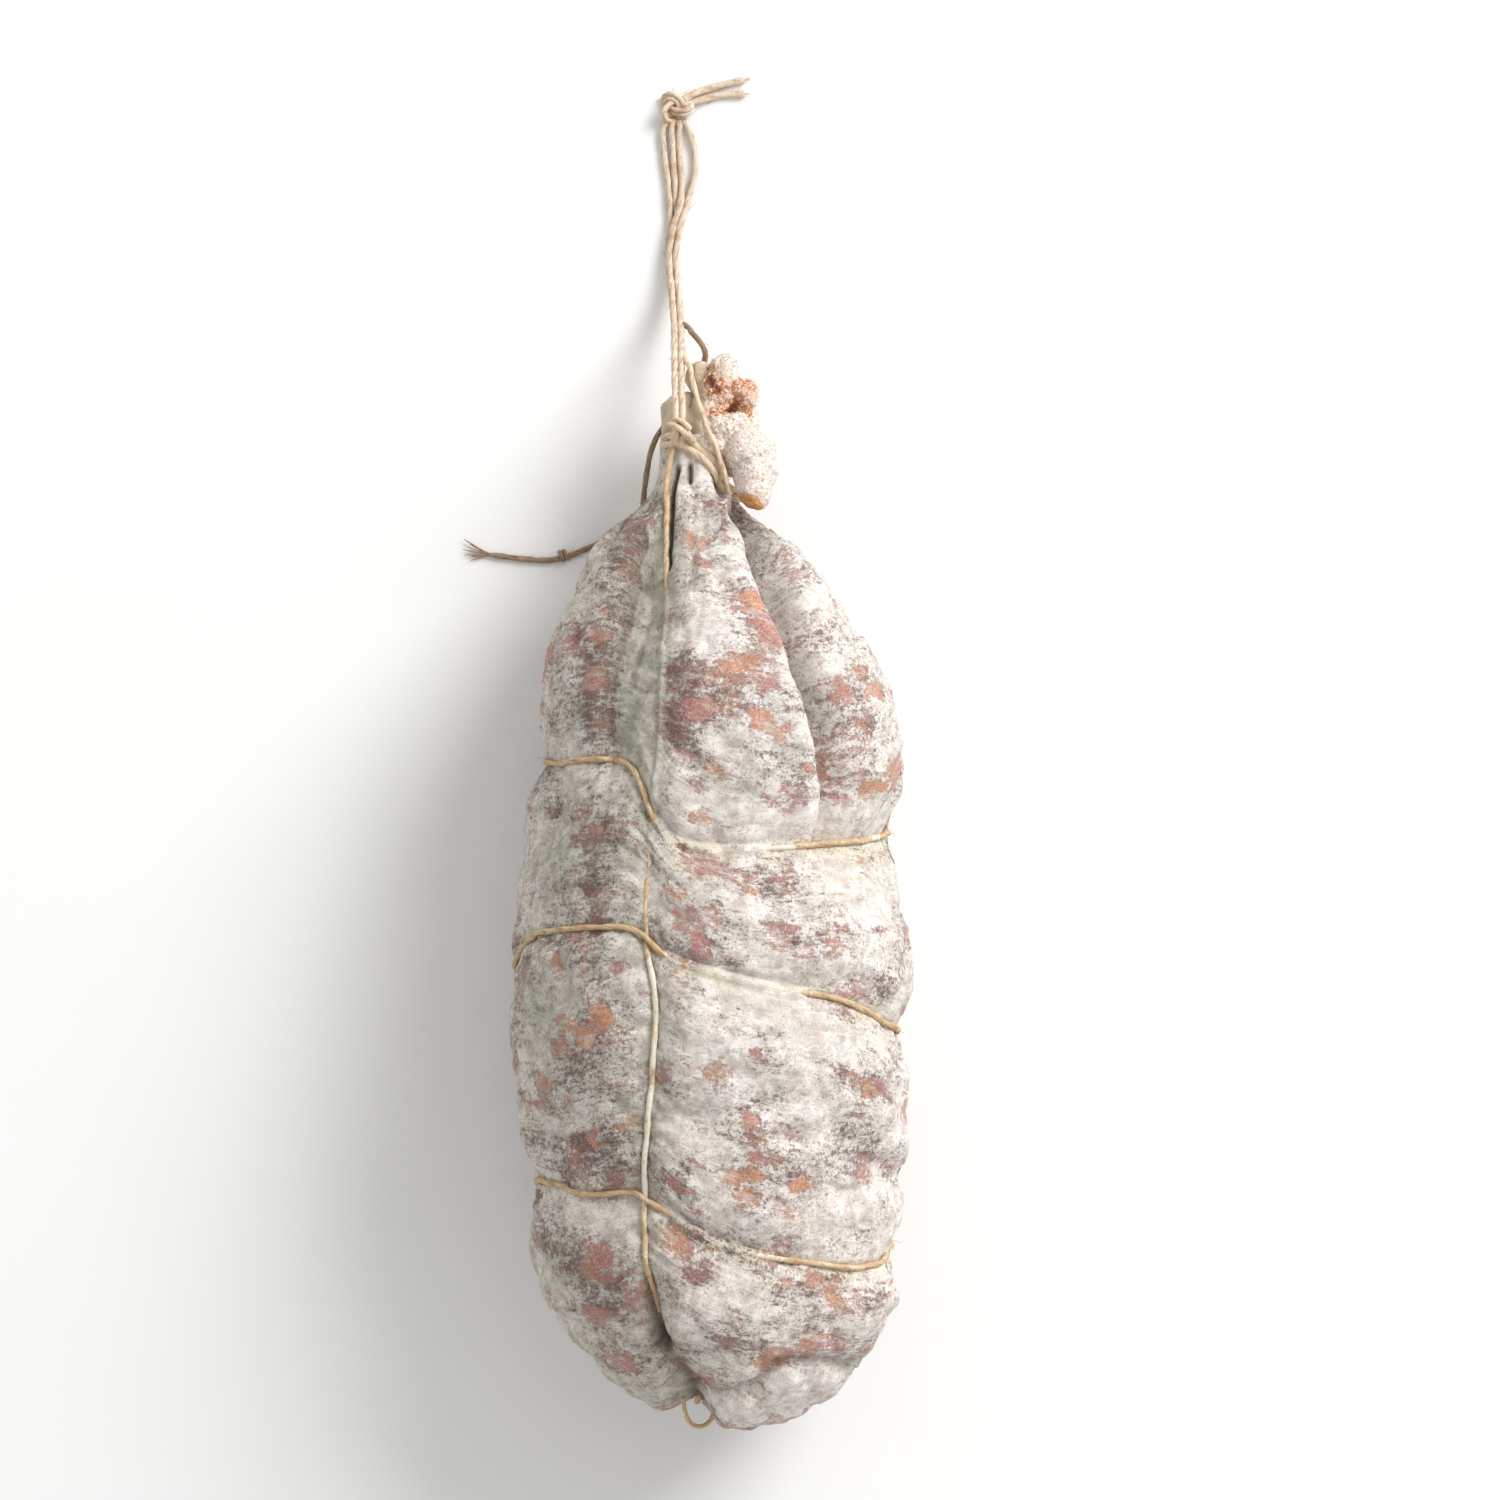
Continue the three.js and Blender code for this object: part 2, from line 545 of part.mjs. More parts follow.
const NECK_STRAND = [
  [-4.4, 128.4, 31.8], [-4, 126, 34], [-3.3, 123, 36], [-2.3, 119.6, 37.2], [-1, 115.6, 38],
  [0.6, 111.6, 38.4], [2, 108.6, 38.4], [3, 105.6, 37.8], [3.9, 102.8, 37.6], [4.6, 100.2, 37.5],
  [5.2, 98.2, 37], [5.8, 96.4, 37.6],
];
const LOW_LOOP = [
  [-6.2, -128.6, 55], [-5.6, -132.5, 54.2], [-4.2, -135.2, 53.2], [-1.8, -136, 52.4],
  [0.4, -134.8, 52.2], [1.3, -133, 52.4],
];
const END_TAILS = [
  [[-3.4, 199.4, 1.8], [-0.6, 200.4, 1.3], [3.4, 201.6, 0.9], [9, 202.8, 0.9]],
  [[-3.1, 197.3, 1.8], [-0.2, 198.2, 1.3], [3.6, 199, 0.9], [9, 199.3, 0.9]],
];
// The end knot: a three-lobed overhand knot, its middle, its half sizes and its turn
const END_KNOT = { middle: [-8.4, 195.8, 2.4], across: 1.42, along: 1.02, rise: 1.35, turn: 90 };

const vectors = (list) => list.map((at) => new THREE.Vector3(...at));

// Assembly
const group = new THREE.Group();
const skinLook = new THREE.MeshStandardMaterial({ color: 0xbdb0a6, roughness: 0.85, metalness: 0 });
const twineLook = new THREE.MeshStandardMaterial({ color: 0xcbb99f, roughness: 0.95, metalness: 0 });

function put(name, geometry, look) {
  const piece = new THREE.Mesh(geometry, look);
  piece.name = name;
  group.add(piece);
}

put('sausage', geometryOf(solidOf(bodyGeometry()).add(solidOf(knobGeometry()))), skinLook);
put('twine_front_and_back', frontToBackTwine(), twineLook);
put('twine_left_and_right', leftToRightTwine(), twineLook);
RING_LINES.forEach((line, k) => put(`twine_ring_${k + 1}`, ringTwine(k), twineLook));
put('neck_tie', neckTie(), twineLook);
put('neck_hitch', knotTurns({
  from: [-8, 113.6, 40.7], to: [-6.3, 116.4, 39.4], radius: 3.6, turns: 1.5,
}), twineLook);
put('neck_strand', twineGeometry(vectors(NECK_STRAND), 3, 6), twineLook);
put('neck_loop', twineGeometry(vectors(NECK_LOOP), 3, 6), twineLook);
put('low_loop', twineGeometry(vectors(LOW_LOOP), 2, 6), twineLook);
HANGING_STRANDS.forEach((route, k) => {
  put(`hanging_strand_${k + 1}`, twineGeometry(vectors(route), 4.5, 8), twineLook);
});
put('hanging_knot', lobedKnot(END_KNOT), twineLook);
END_TAILS.forEach((route, k) => {
  put(`hanging_tail_${k + 1}`, twineGeometry(vectors(route), 4.5, 8), twineLook);
});
put('side_end', twineGeometry(vectors(SIDE_END), 4.5, 8), twineLook);

export default group;
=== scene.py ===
"""A whole cured sausage in its natural casing, tied with twine, lying on its back on a pale table."""
import math

import bpy
import numpy as np
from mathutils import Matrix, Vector


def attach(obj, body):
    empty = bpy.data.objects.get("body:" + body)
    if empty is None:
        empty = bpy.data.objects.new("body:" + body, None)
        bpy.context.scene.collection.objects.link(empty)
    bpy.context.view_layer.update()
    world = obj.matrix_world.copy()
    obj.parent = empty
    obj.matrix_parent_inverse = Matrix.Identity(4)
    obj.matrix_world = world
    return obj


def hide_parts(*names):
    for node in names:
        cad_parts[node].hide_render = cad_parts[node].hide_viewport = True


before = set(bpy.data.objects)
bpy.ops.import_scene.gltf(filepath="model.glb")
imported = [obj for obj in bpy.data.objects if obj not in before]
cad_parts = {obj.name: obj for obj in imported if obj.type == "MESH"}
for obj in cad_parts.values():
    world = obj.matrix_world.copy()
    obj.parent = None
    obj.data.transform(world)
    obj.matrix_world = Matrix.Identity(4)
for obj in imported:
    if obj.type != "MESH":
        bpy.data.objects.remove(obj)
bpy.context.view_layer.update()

MM = 0.001
# Seeds of the pieces' own random numbers, so that each run gives the same sausage
SEEDS = {"skin": 7, "grains": 9, "rings": 11, "lengthwise": 12, "neck": 13, "free": 14}

# Camera: straight down on the sausage, as the photograph looks straight at it
PHOTO_SIDE_PIXELS = 1500
MM_PER_PIXEL = 0.25
CAMERA_HEIGHT = 3000.0
PICTURE_HEIGHT = 46.0
VIEW_MIDDLE = (10.5, 32.75)


def add_camera():
    """A long lens whose square view is PHOTO_SIDE_PIXELS * MM_PER_PIXEL wide at the picture's height."""
    data = bpy.data.cameras.new("camera")
    data.sensor_fit = "HORIZONTAL"
    half_view = PHOTO_SIDE_PIXELS * MM_PER_PIXEL / 2
    data.angle = 2 * math.atan(half_view / (CAMERA_HEIGHT - PICTURE_HEIGHT))
    data.clip_start = 0.1
    data.clip_end = 20
    camera = bpy.data.objects.new("camera", data)
    camera.location = (VIEW_MIDDLE[0] * MM, VIEW_MIDDLE[1] * MM, CAMERA_HEIGHT * MM)
    bpy.context.scene.collection.objects.link(camera)
    bpy.context.scene.camera = camera


add_camera()

# Twine and its routes, in millimetres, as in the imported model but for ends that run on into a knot
TWINE = 1.5
# The two lower hanging strands run side by side from the hitch down to the table, and so do the upper two
STRAND_GAP = 1.7
LOWER_FALL = [
    (-8, 113.4, 39.6), (-8.1, 117.5, 37.7), (-8.3, 122, 34.2), (-8.4, 126, 29.7), (-8.5, 129.8, 24.4),
    (-8.5, 133.4, 19.4), (-8.6, 137.1, 14.4), (-8.8, 141.2, 9.7), (-9.2, 146, 5.6), (-9.8, 151.5, 2.6),
    (-10.3, 157, 1.2), (-10.1, 161.7, 0.9), (-9.8, 166.3, 0.9), (-9.9, 171, 0.9), (-10.2, 175.6, 0.9),
]
UPPER_FALL = [
    (-8, 113.4, 41.5), (-8.1, 117.9, 39.6), (-8.3, 122.9, 35.9), (-8.4, 127.3, 31.1), (-8.5, 131.3, 25.6),
    (-8.5, 135, 20.5), (-8.6, 138.7, 15.5), (-8.8, 142.6, 11), (-9.1, 147.2, 7.2), (-9.6, 152.4, 4.4),
    (-10, 157.4, 3), (-9.6, 161.7, 2.6),
]
# From there each goes its own way into the knot
STRAND_ENDS = [
    [(-10.8, 180.3, 0.9), (-11.4, 184.9, 0.9), (-11.7, 188.8, 1), (-11.5, 191, 1.2)],
    [(-8.8, 180.3, 0.9), (-9.1, 184.9, 0.9), (-9.3, 188.8, 1), (-9.4, 191, 1.2)],
    [(-8.7, 166.3, 2.5), (-7.2, 171, 2.5), (-6.8, 175.6, 1.3), (-7.1, 180.3, 0.9), (-7.4, 184.9, 0.9),
     (-7.4, 188.8, 1), (-7.3, 191, 1.2)],
    [(-7, 166.3, 2.4), (-5.6, 171, 1.6), (-4.4, 175.2, 0.9), (-3.4, 179.9, 0.9), (-3.5, 184.2, 0.9),
     (-4.4, 188.4, 1), (-5.4, 191, 1.2)],
]


def hanging_route(k):
    """Route of hanging strand k, 0 to 3: the fall of its pair, moved aside for the right one, and its end."""
    fall = LOWER_FALL if k < 2 else UPPER_FALL
    return [(x + STRAND_GAP * (k % 2), y, z) for x, y, z in fall] + STRAND_ENDS[k]
SIDE_END = [
    (-8.6, 98.2, 19), (-11, 97.2, 15.8), (-13.2, 96, 12.8), (-15.3, 94.7, 10.2), (-17.6, 93.1, 7.4),
    (-20, 90.9, 4.8), (-22.8, 88.6, 2.6), (-26, 86.2, 1.5), (-29, 84.7, 0.9), (-32.5, 83.2, 0.9),
    (-36, 81.8, 0.9), (-39.5, 81, 0.9), (-43, 80.9, 0.9), (-46.5, 81.2, 0.9), (-50, 81.6, 0.9),
    (-53, 82, 0.9), (-56, 82.4, 0.9),
]
# Where the loose end comes out from under the neck's turns
SIDE_END_ROOT = (-7.2, 99.6, 21)
NECK_LOOP = [
    (-6.4, 140.4, 13.4), (-5, 139.4, 15.2), (-4.1, 138, 18.4), (-2.1, 135.6, 20.6), (-0.8, 133.1, 20.8),
    (-1.2, 129.8, 19.2), (-2, 126.4, 16.8), (-3, 122.8, 15.4), (-3.6, 119.6, 15),
]
NECK_STRAND = [
    (-6.4, 132.4, 23.8), (-5.4, 130.4, 28), (-4.4, 128.4, 31.8), (-4, 126, 34), (-3.3, 123, 36),
    (-2.3, 119.6, 37.2), (-1, 115.6, 38), (0.6, 111.6, 38.4), (2, 108.6, 38.4), (3, 105.6, 37.8),
    (3.9, 102.8, 37.6), (4.6, 100.2, 37.5), (5.2, 98.2, 37), (5.8, 96.4, 37.6),
]
LOW_LOOP = [
    (-6.2, -128.6, 55), (-5.6, -132.5, 54.2), (-4.2, -135.2, 53.2), (-1.8, -136, 52.4),
    (0.4, -134.8, 52.2), (1.3, -133, 52.4),
]
END_TAILS = [
    [(-3.4, 199.4, 1.8), (-0.6, 200.4, 1.3), (3.4, 201.6, 0.9), (9, 202.8, 0.9)],
    [(-3.1, 197.3, 1.8), (-0.2, 198.2, 1.3), (3.6, 199, 0.9), (9, 199.3, 0.9)],
]
TAIL_ROOTS = [(-6.4, 197.6, 2.4), (-6.2, 196.2, 2.4)]
END_KNOT = {"middle": (-8.4, 195.8, 2.4), "across": 1.42, "along": 1.02, "rise": 1.35, "turn": 90}

# The body's form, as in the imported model, in millimetres
FLATTENING = 0.94
LOW_END = -137.0
CAP_LENGTH = 50.0
NECK_END = 112.0
HALF_WIDTH = [
    (-87, 46.4), (-47, 49), (-17, 50), (-3, 47.4), (12, 46.2), (37, 45.4), (54, 42), (67, 35.8),
    (78, 29), (86, 22.2), (93, 14.2), (98, 10), (103, 8.6), (112, 8.6),
]
MIDDLE_X = [
    (-137, 7), (-107, 3.4), (-60, 1.4), (-17, 0.4), (12, 0.9), (37, 3), (67, -0.5), (93, -3.8), (112, -3.4),
]
MIDDLE_Z = [
    (-137, 42), (-119, 40.6), (-92, 42.2), (-60, 44.4), (-17, 45.7), (12, 43.5), (37, 41.8),
    (54, 40), (67, 38), (78, 35.6), (86, 33.6), (93, 31.3), (99, 29.3), (112, 26.5),
]

# Lines on the skin: (degrees from the top towards +X, y)
RING_LINES = [
    [(-180, 22), (-145, 27), (-105, 30), (-66, 29.8), (-40, 31), (-31, 29), (-24, 23), (-19, 16),
     (-12, 10.8), (0, 8.6), (22, 8.8), (44, 10), (67, 10.6), (110, 13), (150, 18), (180, 22)],
    [(-180, -29), (-140, -28), (-105, -26), (-90, -20.5), (-76, -14.2), (-58, -11.8), (-27, -10.4),
     (-20, -12.4), (-13, -17.8), (0, -21.9), (18, -25.9), (38, -28.2), (56, -32), (72, -36),
     (110, -38), (150, -33), (180, -29)],
    [(-180, -84), (-130, -79), (-90, -75), (-67, -75.5), (-45, -77.8), (-27, -77.2), (-19, -80.2),
     (-7, -86.5), (8, -91.6), (30, -94.4), (48, -96), (66, -95.6), (88, -93), (112, -88.5),
     (150, -85.5), (180, -84)],
]
FRONT_STRAND = [
    (-30, 109), (-35, 99), (-25, 91), (-18.5, 82), (-17.5, 66), (-19, 48), (-20, 30), (-19.5, 8),
    (-19.8, -12),
    (-16.5, -26), (-16.5, -38), (-19, -54), (-23, -76), (-23.5, -98), (-25, -116),
]
BACK_STRAND = [(154, -112), (159, -90), (160, -30), (160, 30), (159, 60), (157, 80), (157, 90)]
LEFT_STRAND = [
    (-128, 90), (-116, 78), (-109, 62), (-105, 40), (-104, 0), (-104, -60), (-102, -96), (-98, -116),
]
RIGHT_STRAND = [(97, -116), (97, -96), (97, -60), (97, 0), (97, 40), (98, 70), (101, 82), (103, 88.5)]
FRONT_TO_BACK_BELOW = [(-6, 66), (-4.5, 52), (-4, 41), (-2.5, 28), (2, 17)]
LEFT_TO_RIGHT_BELOW = [(-24, 38.5), (-14, 40.2), (-4, 41), (8, 41), (20, 40), (31, 38.6)]
BOW_BESIDE_NECK = [
    (-10.6, 115, 20.5), (-12.8, 112, 22.8), (-14.5, 107.6, 24.8), (-15.4, 103, 25), (-16, 98.9, 24),
]

# Small numpy tools

def values_at(pairs, y):
    """Smooth value at y of a list of (y, value): cubic pieces whose slopes are those between neighbours."""
    knots = np.array(pairs, float)
    ky, kv = knots[:, 0], knots[:, 1]
    slope = np.empty(len(ky))
    slope[1:-1] = (kv[2:] - kv[:-2]) / (ky[2:] - ky[:-2])
    slope[0] = (kv[1] - kv[0]) / (ky[1] - ky[0])
    slope[-1] = (kv[-1] - kv[-2]) / (ky[-1] - ky[-2])
    y = np.clip(np.asarray(y, float), ky[0], ky[-1])
    i = np.clip(np.searchsorted(ky, y, side="right") - 1, 0, len(ky) - 2)
    step = ky[i + 1] - ky[i]
    t = (y - ky[i]) / step
    rise = t * t * (3 - 2 * t)
    bend = slope[i] * (t - 2 * t**2 + t**3) + slope[i + 1] * (t**3 - t**2)
    return kv[i] + (kv[i + 1] - kv[i]) * rise + step * bend


def ramp(value, start, end):
    """0 before start, 1 after end, smooth between: 3 t^2 - 2 t^3."""
    t = np.clip((np.asarray(value, float) - start) / (end - start), 0, 1)
    return t * t * (3 - 2 * t)


def hollow(distance, reach):
    """Bell curve exp(-(distance / reach)^2)."""
    return np.exp(-((distance / reach) ** 2))


def blend(a, b, share):
    """a where share is 0, b where it is 1."""
    return a + (b - a) * share


def lattice_values(cells, seed):
    """A fixed random number from 0 to 1 for each whole-number place: a mixed product of its coordinates."""
    c = cells.astype(np.int64).astype(np.uint64)
    h = c[..., 0] * np.uint64(0x9E3779B1) ^ c[..., 1] * np.uint64(0x85EBCA77)
    h = h ^ c[..., 2] * np.uint64(0xC2B2AE3D)
    h = (h + np.uint64(seed * 7919 + 1)) * np.uint64(0x9E3779B97F4A7C15)
    h ^= h >> np.uint64(29)
    h = h * np.uint64(0xBF58476D1CE4E5B9)
    h ^= h >> np.uint64(32)
    return (h & np.uint64(0xFFFFFF)).astype(float) / float(0xFFFFFF)


CORNERS = np.array([(a, b, c) for a in (0, 1) for b in (0, 1) for c in (0, 1)])


def noise(points, size, seed=0):
    """Smooth noise from about -1 to 1: at each lattice corner a random slope, blended by a quintic."""
    p = np.asarray(points, float) / size
    base = np.floor(p)
    f = p - base
    u = f**3 * (f * (f * 6 - 15) + 10)
    total = np.zeros(p.shape[:-1])
    for corner in CORNERS:
        cell = base + corner
        turn = lattice_values(cell, seed) * 2 * math.pi
        lift = lattice_values(cell, seed + 101) * 2 - 1
        flat = np.sqrt(1 - lift**2)
        slope = np.stack([flat * np.cos(turn), flat * np.sin(turn), lift], -1)
        weight = np.prod(np.where(corner == 1, u, 1 - u), -1)
        total += weight * np.sum(slope * (f - corner), -1)
    return total * 1.6


def rough_noise(points, size, seed=0, octaves=3, gain=0.5):
    """Sum of noise at halving sizes and falling strengths."""
    return sum(gain**k * noise(points, size / 2**k, seed + 13 * k) for k in range(octaves))


def noise_vector(points, size, seeds):
    """Three noises side by side, for shifting places."""
    return np.stack([noise(points, size, seed) for seed in seeds], -1)


def pebbles(points, size, seed=0):
    """Height from 0 to 1 of rounded grains: 1 - (distance to the nearest random seed point / 0.9)^2."""
    p = np.asarray(points, float) / size
    base = np.floor(p)
    nearest = np.full(p.shape[:-1], 9.0)
    for a in (-1, 0, 1):
        for b in (-1, 0, 1):
            for c in (-1, 0, 1):
                cell = base + np.array((a, b, c))
                at = np.stack([lattice_values(cell, seed + k) for k in (3, 5, 7)], -1)
                nearest = np.minimum(nearest, np.sum((cell + at - p) ** 2, -1))
    return np.clip(1 - nearest / 0.81, 0, 1)


def distance_to_line(points, line):
    """Distance of each point to a polyline: to the nearest point of each piece, the least of them."""
    best = np.full(len(points), np.inf)
    for a, b in zip(line[:-1], line[1:]):
        along = b - a
        share = np.clip((points - a) @ along / max(along @ along, 1e-9), 0, 1)
        best = np.minimum(best, np.linalg.norm(points - a - share[:, None] * along, axis=1))
    return best


# Points worked out between two of a curve's own, before they are spaced evenly
CURVE_POINTS = 24


def smooth_path(points, step):
    """Centripetal Catmull-Rom curve through the points, at even spacing of about step."""
    p = np.array(points, float)
    p = np.vstack([2 * p[0] - p[1], p, 2 * p[-1] - p[-2]])
    gaps = np.sqrt(np.linalg.norm(np.diff(p, axis=0), axis=1))
    pieces = []
    for i in range(1, len(p) - 2):
        t0, t1, t2, t3 = np.cumsum([0, gaps[i - 1], gaps[i], gaps[i + 1]])
        t = np.linspace(t1, t2, CURVE_POINTS, endpoint=False)[:, None]
        a1 = (t1 - t) / (t1 - t0) * p[i - 1] + (t - t0) / (t1 - t0) * p[i]
        a2 = (t2 - t) / (t2 - t1) * p[i] + (t - t1) / (t2 - t1) * p[i + 1]
        a3 = (t3 - t) / (t3 - t2) * p[i + 1] + (t - t2) / (t3 - t2) * p[i + 2]
        b1 = (t2 - t) / (t2 - t0) * a1 + (t - t0) / (t2 - t0) * a2
        b2 = (t3 - t) / (t3 - t1) * a2 + (t - t1) / (t3 - t1) * a3
        pieces.append((t2 - t) / (t2 - t1) * b1 + (t - t1) / (t2 - t1) * b2)
    dense = np.vstack(pieces + [p[-2:-1]])
    run = np.concatenate([[0], np.cumsum(np.linalg.norm(np.diff(dense, axis=0), axis=1))])
    count = max(3, int(round(run[-1] / step)) + 1)
    even = np.linspace(0, run[-1], count)
    return np.stack([np.interp(even, run, dense[:, k]) for k in range(3)], 1)


# The body as a function of (degrees, y)

def half_width(y):
    """The listed half width, and over the rounded lower end an ellipse of CAP_LENGTH."""
    from_cap = np.clip((LOW_END + CAP_LENGTH - y) / CAP_LENGTH, 0, 1)
    return values_at(HALF_WIDTH, y) * np.sqrt(np.clip(1 - from_cap**2, 0, 1))


def plain_point(degrees, y):
    """Ellipse of the half width and FLATTENING around the middle line: x by sine, z by cosine."""
    turn = np.radians(degrees)
    width = half_width(y)
    x = values_at(MIDDLE_X, y) + width * np.sin(turn)
    z = values_at(MIDDLE_Z, y) + width * FLATTENING * np.cos(turn)
    return np.stack([x, np.broadcast_to(y, x.shape), z], -1)


def plain_normal(degrees, y):
    """Outward direction: cross product of a short step around and a short step along."""
    step = np.minimum(0.5, np.maximum(y - LOW_END, 0.02) / 2)
    around = plain_point(degrees + 0.5, y) - plain_point(degrees - 0.5, y)
    along = plain_point(degrees, y + step) - plain_point(degrees, y - step)
    out = np.cross(around, along)
    out = out / np.maximum(np.linalg.norm(out, axis=-1, keepdims=True), 1e-12)
    at_pole = (y - LOW_END < 0.02)[..., None]
    return np.where(at_pole, np.array([0.0, -1.0, 0.0]), out)


def angle_of(x, y, z):
    """Degrees around the middle line at height y."""
    across = x - values_at(MIDDLE_X, y)
    up = (z - values_at(MIDDLE_Z, y)) / FLATTENING
    return np.degrees(np.arctan2(across, up))


def station_below(x, z):
    """Station of the lower end over x, z: y is halved in on until the ellipse there passes x, z."""
    low = np.full(np.shape(x), LOW_END)
    high = low + CAP_LENGTH
    for _ in range(40):
        y = (low + high) / 2
        width = np.maximum(half_width(y), 1e-6)
        across = (x - values_at(MIDDLE_X, y)) / width
        up = (z - values_at(MIDDLE_Z, y)) / (width * FLATTENING)
        outside = np.hypot(across, up) > 1
        low = np.where(outside, y, low)
        high = np.where(outside, high, y)
    return angle_of(x, high, z), high


def stations_of(points):
    """(degrees, y) of points near the plain body, by x and z on the lower end and by y elsewhere."""
    x, y, z = points.T
    degrees = angle_of(x, y, z)
    below_degrees, below_y = station_below(x, z)
    at_end = y < LOW_END + 20
    return np.where(at_end, below_degrees, degrees), np.where(at_end, below_y, y)


def plain_line(stations, step=2.0):
    """Smooth line of the plain body through stations."""
    places = np.array(stations, float)
    return smooth_path(plain_point(places[:, 0], places[:, 1]), step)


def lower_stations(places):
    """Stations of (x, z) places on the lower end."""
    x, z = np.array(places, float).T
    return list(zip(*station_below(x, z)))


FRONT_TO_BACK = FRONT_STRAND + lower_stations(FRONT_TO_BACK_BELOW) + BACK_STRAND
LEFT_TO_RIGHT = LEFT_STRAND + lower_stations(LEFT_TO_RIGHT_BELOW) + RIGHT_STRAND
FRONT_TO_BACK_LINE = plain_line(FRONT_TO_BACK)
LEFT_TO_RIGHT_LINE = plain_line(LEFT_TO_RIGHT)

# Folds of the dried skin: the line, the depth, the reach to its left and right, and the swell of its left lip
FOLDS = {
    "right_fold": ([(44, 92), (33, 86), (26, 76), (26.5, 62), (28, 48), (31, 34), (35.5, 20), (38, 10)],
                   8.0, 1.7, 8.5, 2.2),
    "left_fold": ([(-36, 86), (-34, 74), (-35, 62), (-38, 48), (-41, 36)], 4.4, 1.7, 6.5, 0.5),
    "sunken_band": ([(-25, 74), (-27, 60), (-29, 46), (-29, 34)], 2.2, 7.5, 7.5, 0.0),
    "middle_crease": ([(-14, -58), (5, -65), (26, -64), (45, -66), (70, -72)], 1.3, 4.0, 6.0, 0.0),
    "cleft": ([(-23.2, -88), (-23.5, -98), (-24.5, -108), (-25, -116)], 4.6, 1.9, 1.9, 0.0),
    "low_crease": ([(-14, -128), (12, -126), (24, -120), (33, -119), (52, -120), (74, -122)],
                   2.6, 3.0, 4.0, 0.4),
    "neck_slit_left": ([(-27, 103), (-29, 98), (-20.5, 91), (-16.8, 84), (-16, 80)], 2.6, 0.7, 0.8, 0.0),
    "side_crease": ([(60, -70), (80, -73), (100, -74)], 2.4, 3.0, 4.0, 0.0),
    "neck_slit_middle": ([(-6, 104), (-5, 102), (-4, 100)], 2.0, 0.6, 0.6, 0.2),
    "neck_slit_right": ([(44, 101), (42, 98), (38, 95)], 2.0, 0.7, 0.7, 0.2),
    "pleat_middle": ([(2, 98), (0, 90), (-3, 82), (-5, 74)], 0.8, 1.0, 1.4, 0.3),
    "pleat_far_right": ([(30, 96), (22, 88), (17, 80)], 0.9, 1.0, 1.4, 0.3),
    "pleat_right": ([(14, 97), (8, 90), (5, 84), (4, 76)], 0.7, 1.2, 1.6, 0.2),
    "left_edge_pleat": ([(-72, 88), (-62, 74), (-60, 60)], 1.2, 2.0, 3.0, 0.3),
}
FOLD_LINES = {name: plain_line(fold[0]) for name, fold in FOLDS.items()}
# Where a fold's left lip swells, away from its line, and how wide the swell is
LIP_OFFSET = 4.5
LIP_REACH = 3.5

# How deep the twine draws the skin in, in millimetres: on the shown side, and underneath or at the end
RING_DEPTH = 2.8
RING_DEPTH_AT_RIGHT = 1.2
RING_DEPTH_BELOW = 5.0
RING_REACH = 7.5
FURROW_DEPTH = 1.6
FURROW_DEPTH_BELOW = 3.2
FURROW_DEPTH_AT_END = (3.0, 7.0)
SIDE_DEPTH_AT_END = 3.4
FURROW_REACH = 5.5
# Depth of the groove under twine that lies open
BED_DEPTH = 0.75
# The grain of the skin: how far the rings and the front strand bend it, and where the neck gathers it
FLOW_RING_REACH = 26
FLOW_DROOP = 5
FLOW_DROOP_REACH = 14
FLOW_WOBBLE = 2.2
GATHER_START = 70
# Swell of the filling, its slow lumps and its round ones, the lobe at the front and the bulge at the right
SWELL_HEIGHT = 0.7
SLOW_LUMP_HEIGHT = 1.1
ROUND_LUMP_HEIGHT = 2.1
LOBE_HEIGHT = 2.2
BULGE_HEIGHT = 2.0
# Wrinkles along the grain, broad and fine, the neck's pleats, and small bumps
WRINKLE_HEIGHT = 0.34
FINE_WRINKLE_HEIGHT = 0.14
PLEAT_HEIGHT = 0.75
PLEATS_PER_TURN = 4.5
BUMP_HEIGHT = 0.95
ROUGH_HEIGHT = 0.2
# How far the right fold's lip is pushed over
LIP_PUSH = 1.9
# Share of each ring's turn, from degrees to degrees, where mould has grown over the twine
BURIED_SPANS = [(-20, 24), (-14, 30), (-16, 14)]
# Share of the front strand that is grown over: (y, share)
FRONT_BURIED = [
    (-130, 1), (-112, 1), (-104, 0.2), (-88, 0), (-20, 0), (-14, 0.3), (-10, 0.75), (10, 0.7), (18, 1.3),
    (60, 1.2), (74, 0.8), (80, 0.35), (87, 0), (109, 0),
]
# Angle of the front strand at each height
FRONT_AT_HEIGHT = sorted((y, degrees) for degrees, y in FRONT_STRAND)


def turned(degrees):
    """The same angle, from -180 to 180."""
    return (np.asarray(degrees, float) + 180) % 360 - 180


def ring_buried(k, degrees):
    """How far ring k is grown over at each angle, from 0 to 1."""
    start, end = BURIED_SPANS[k]
    return ramp(degrees, start - 3, start + 3) * (1 - ramp(degrees, end - 8, end + 8))


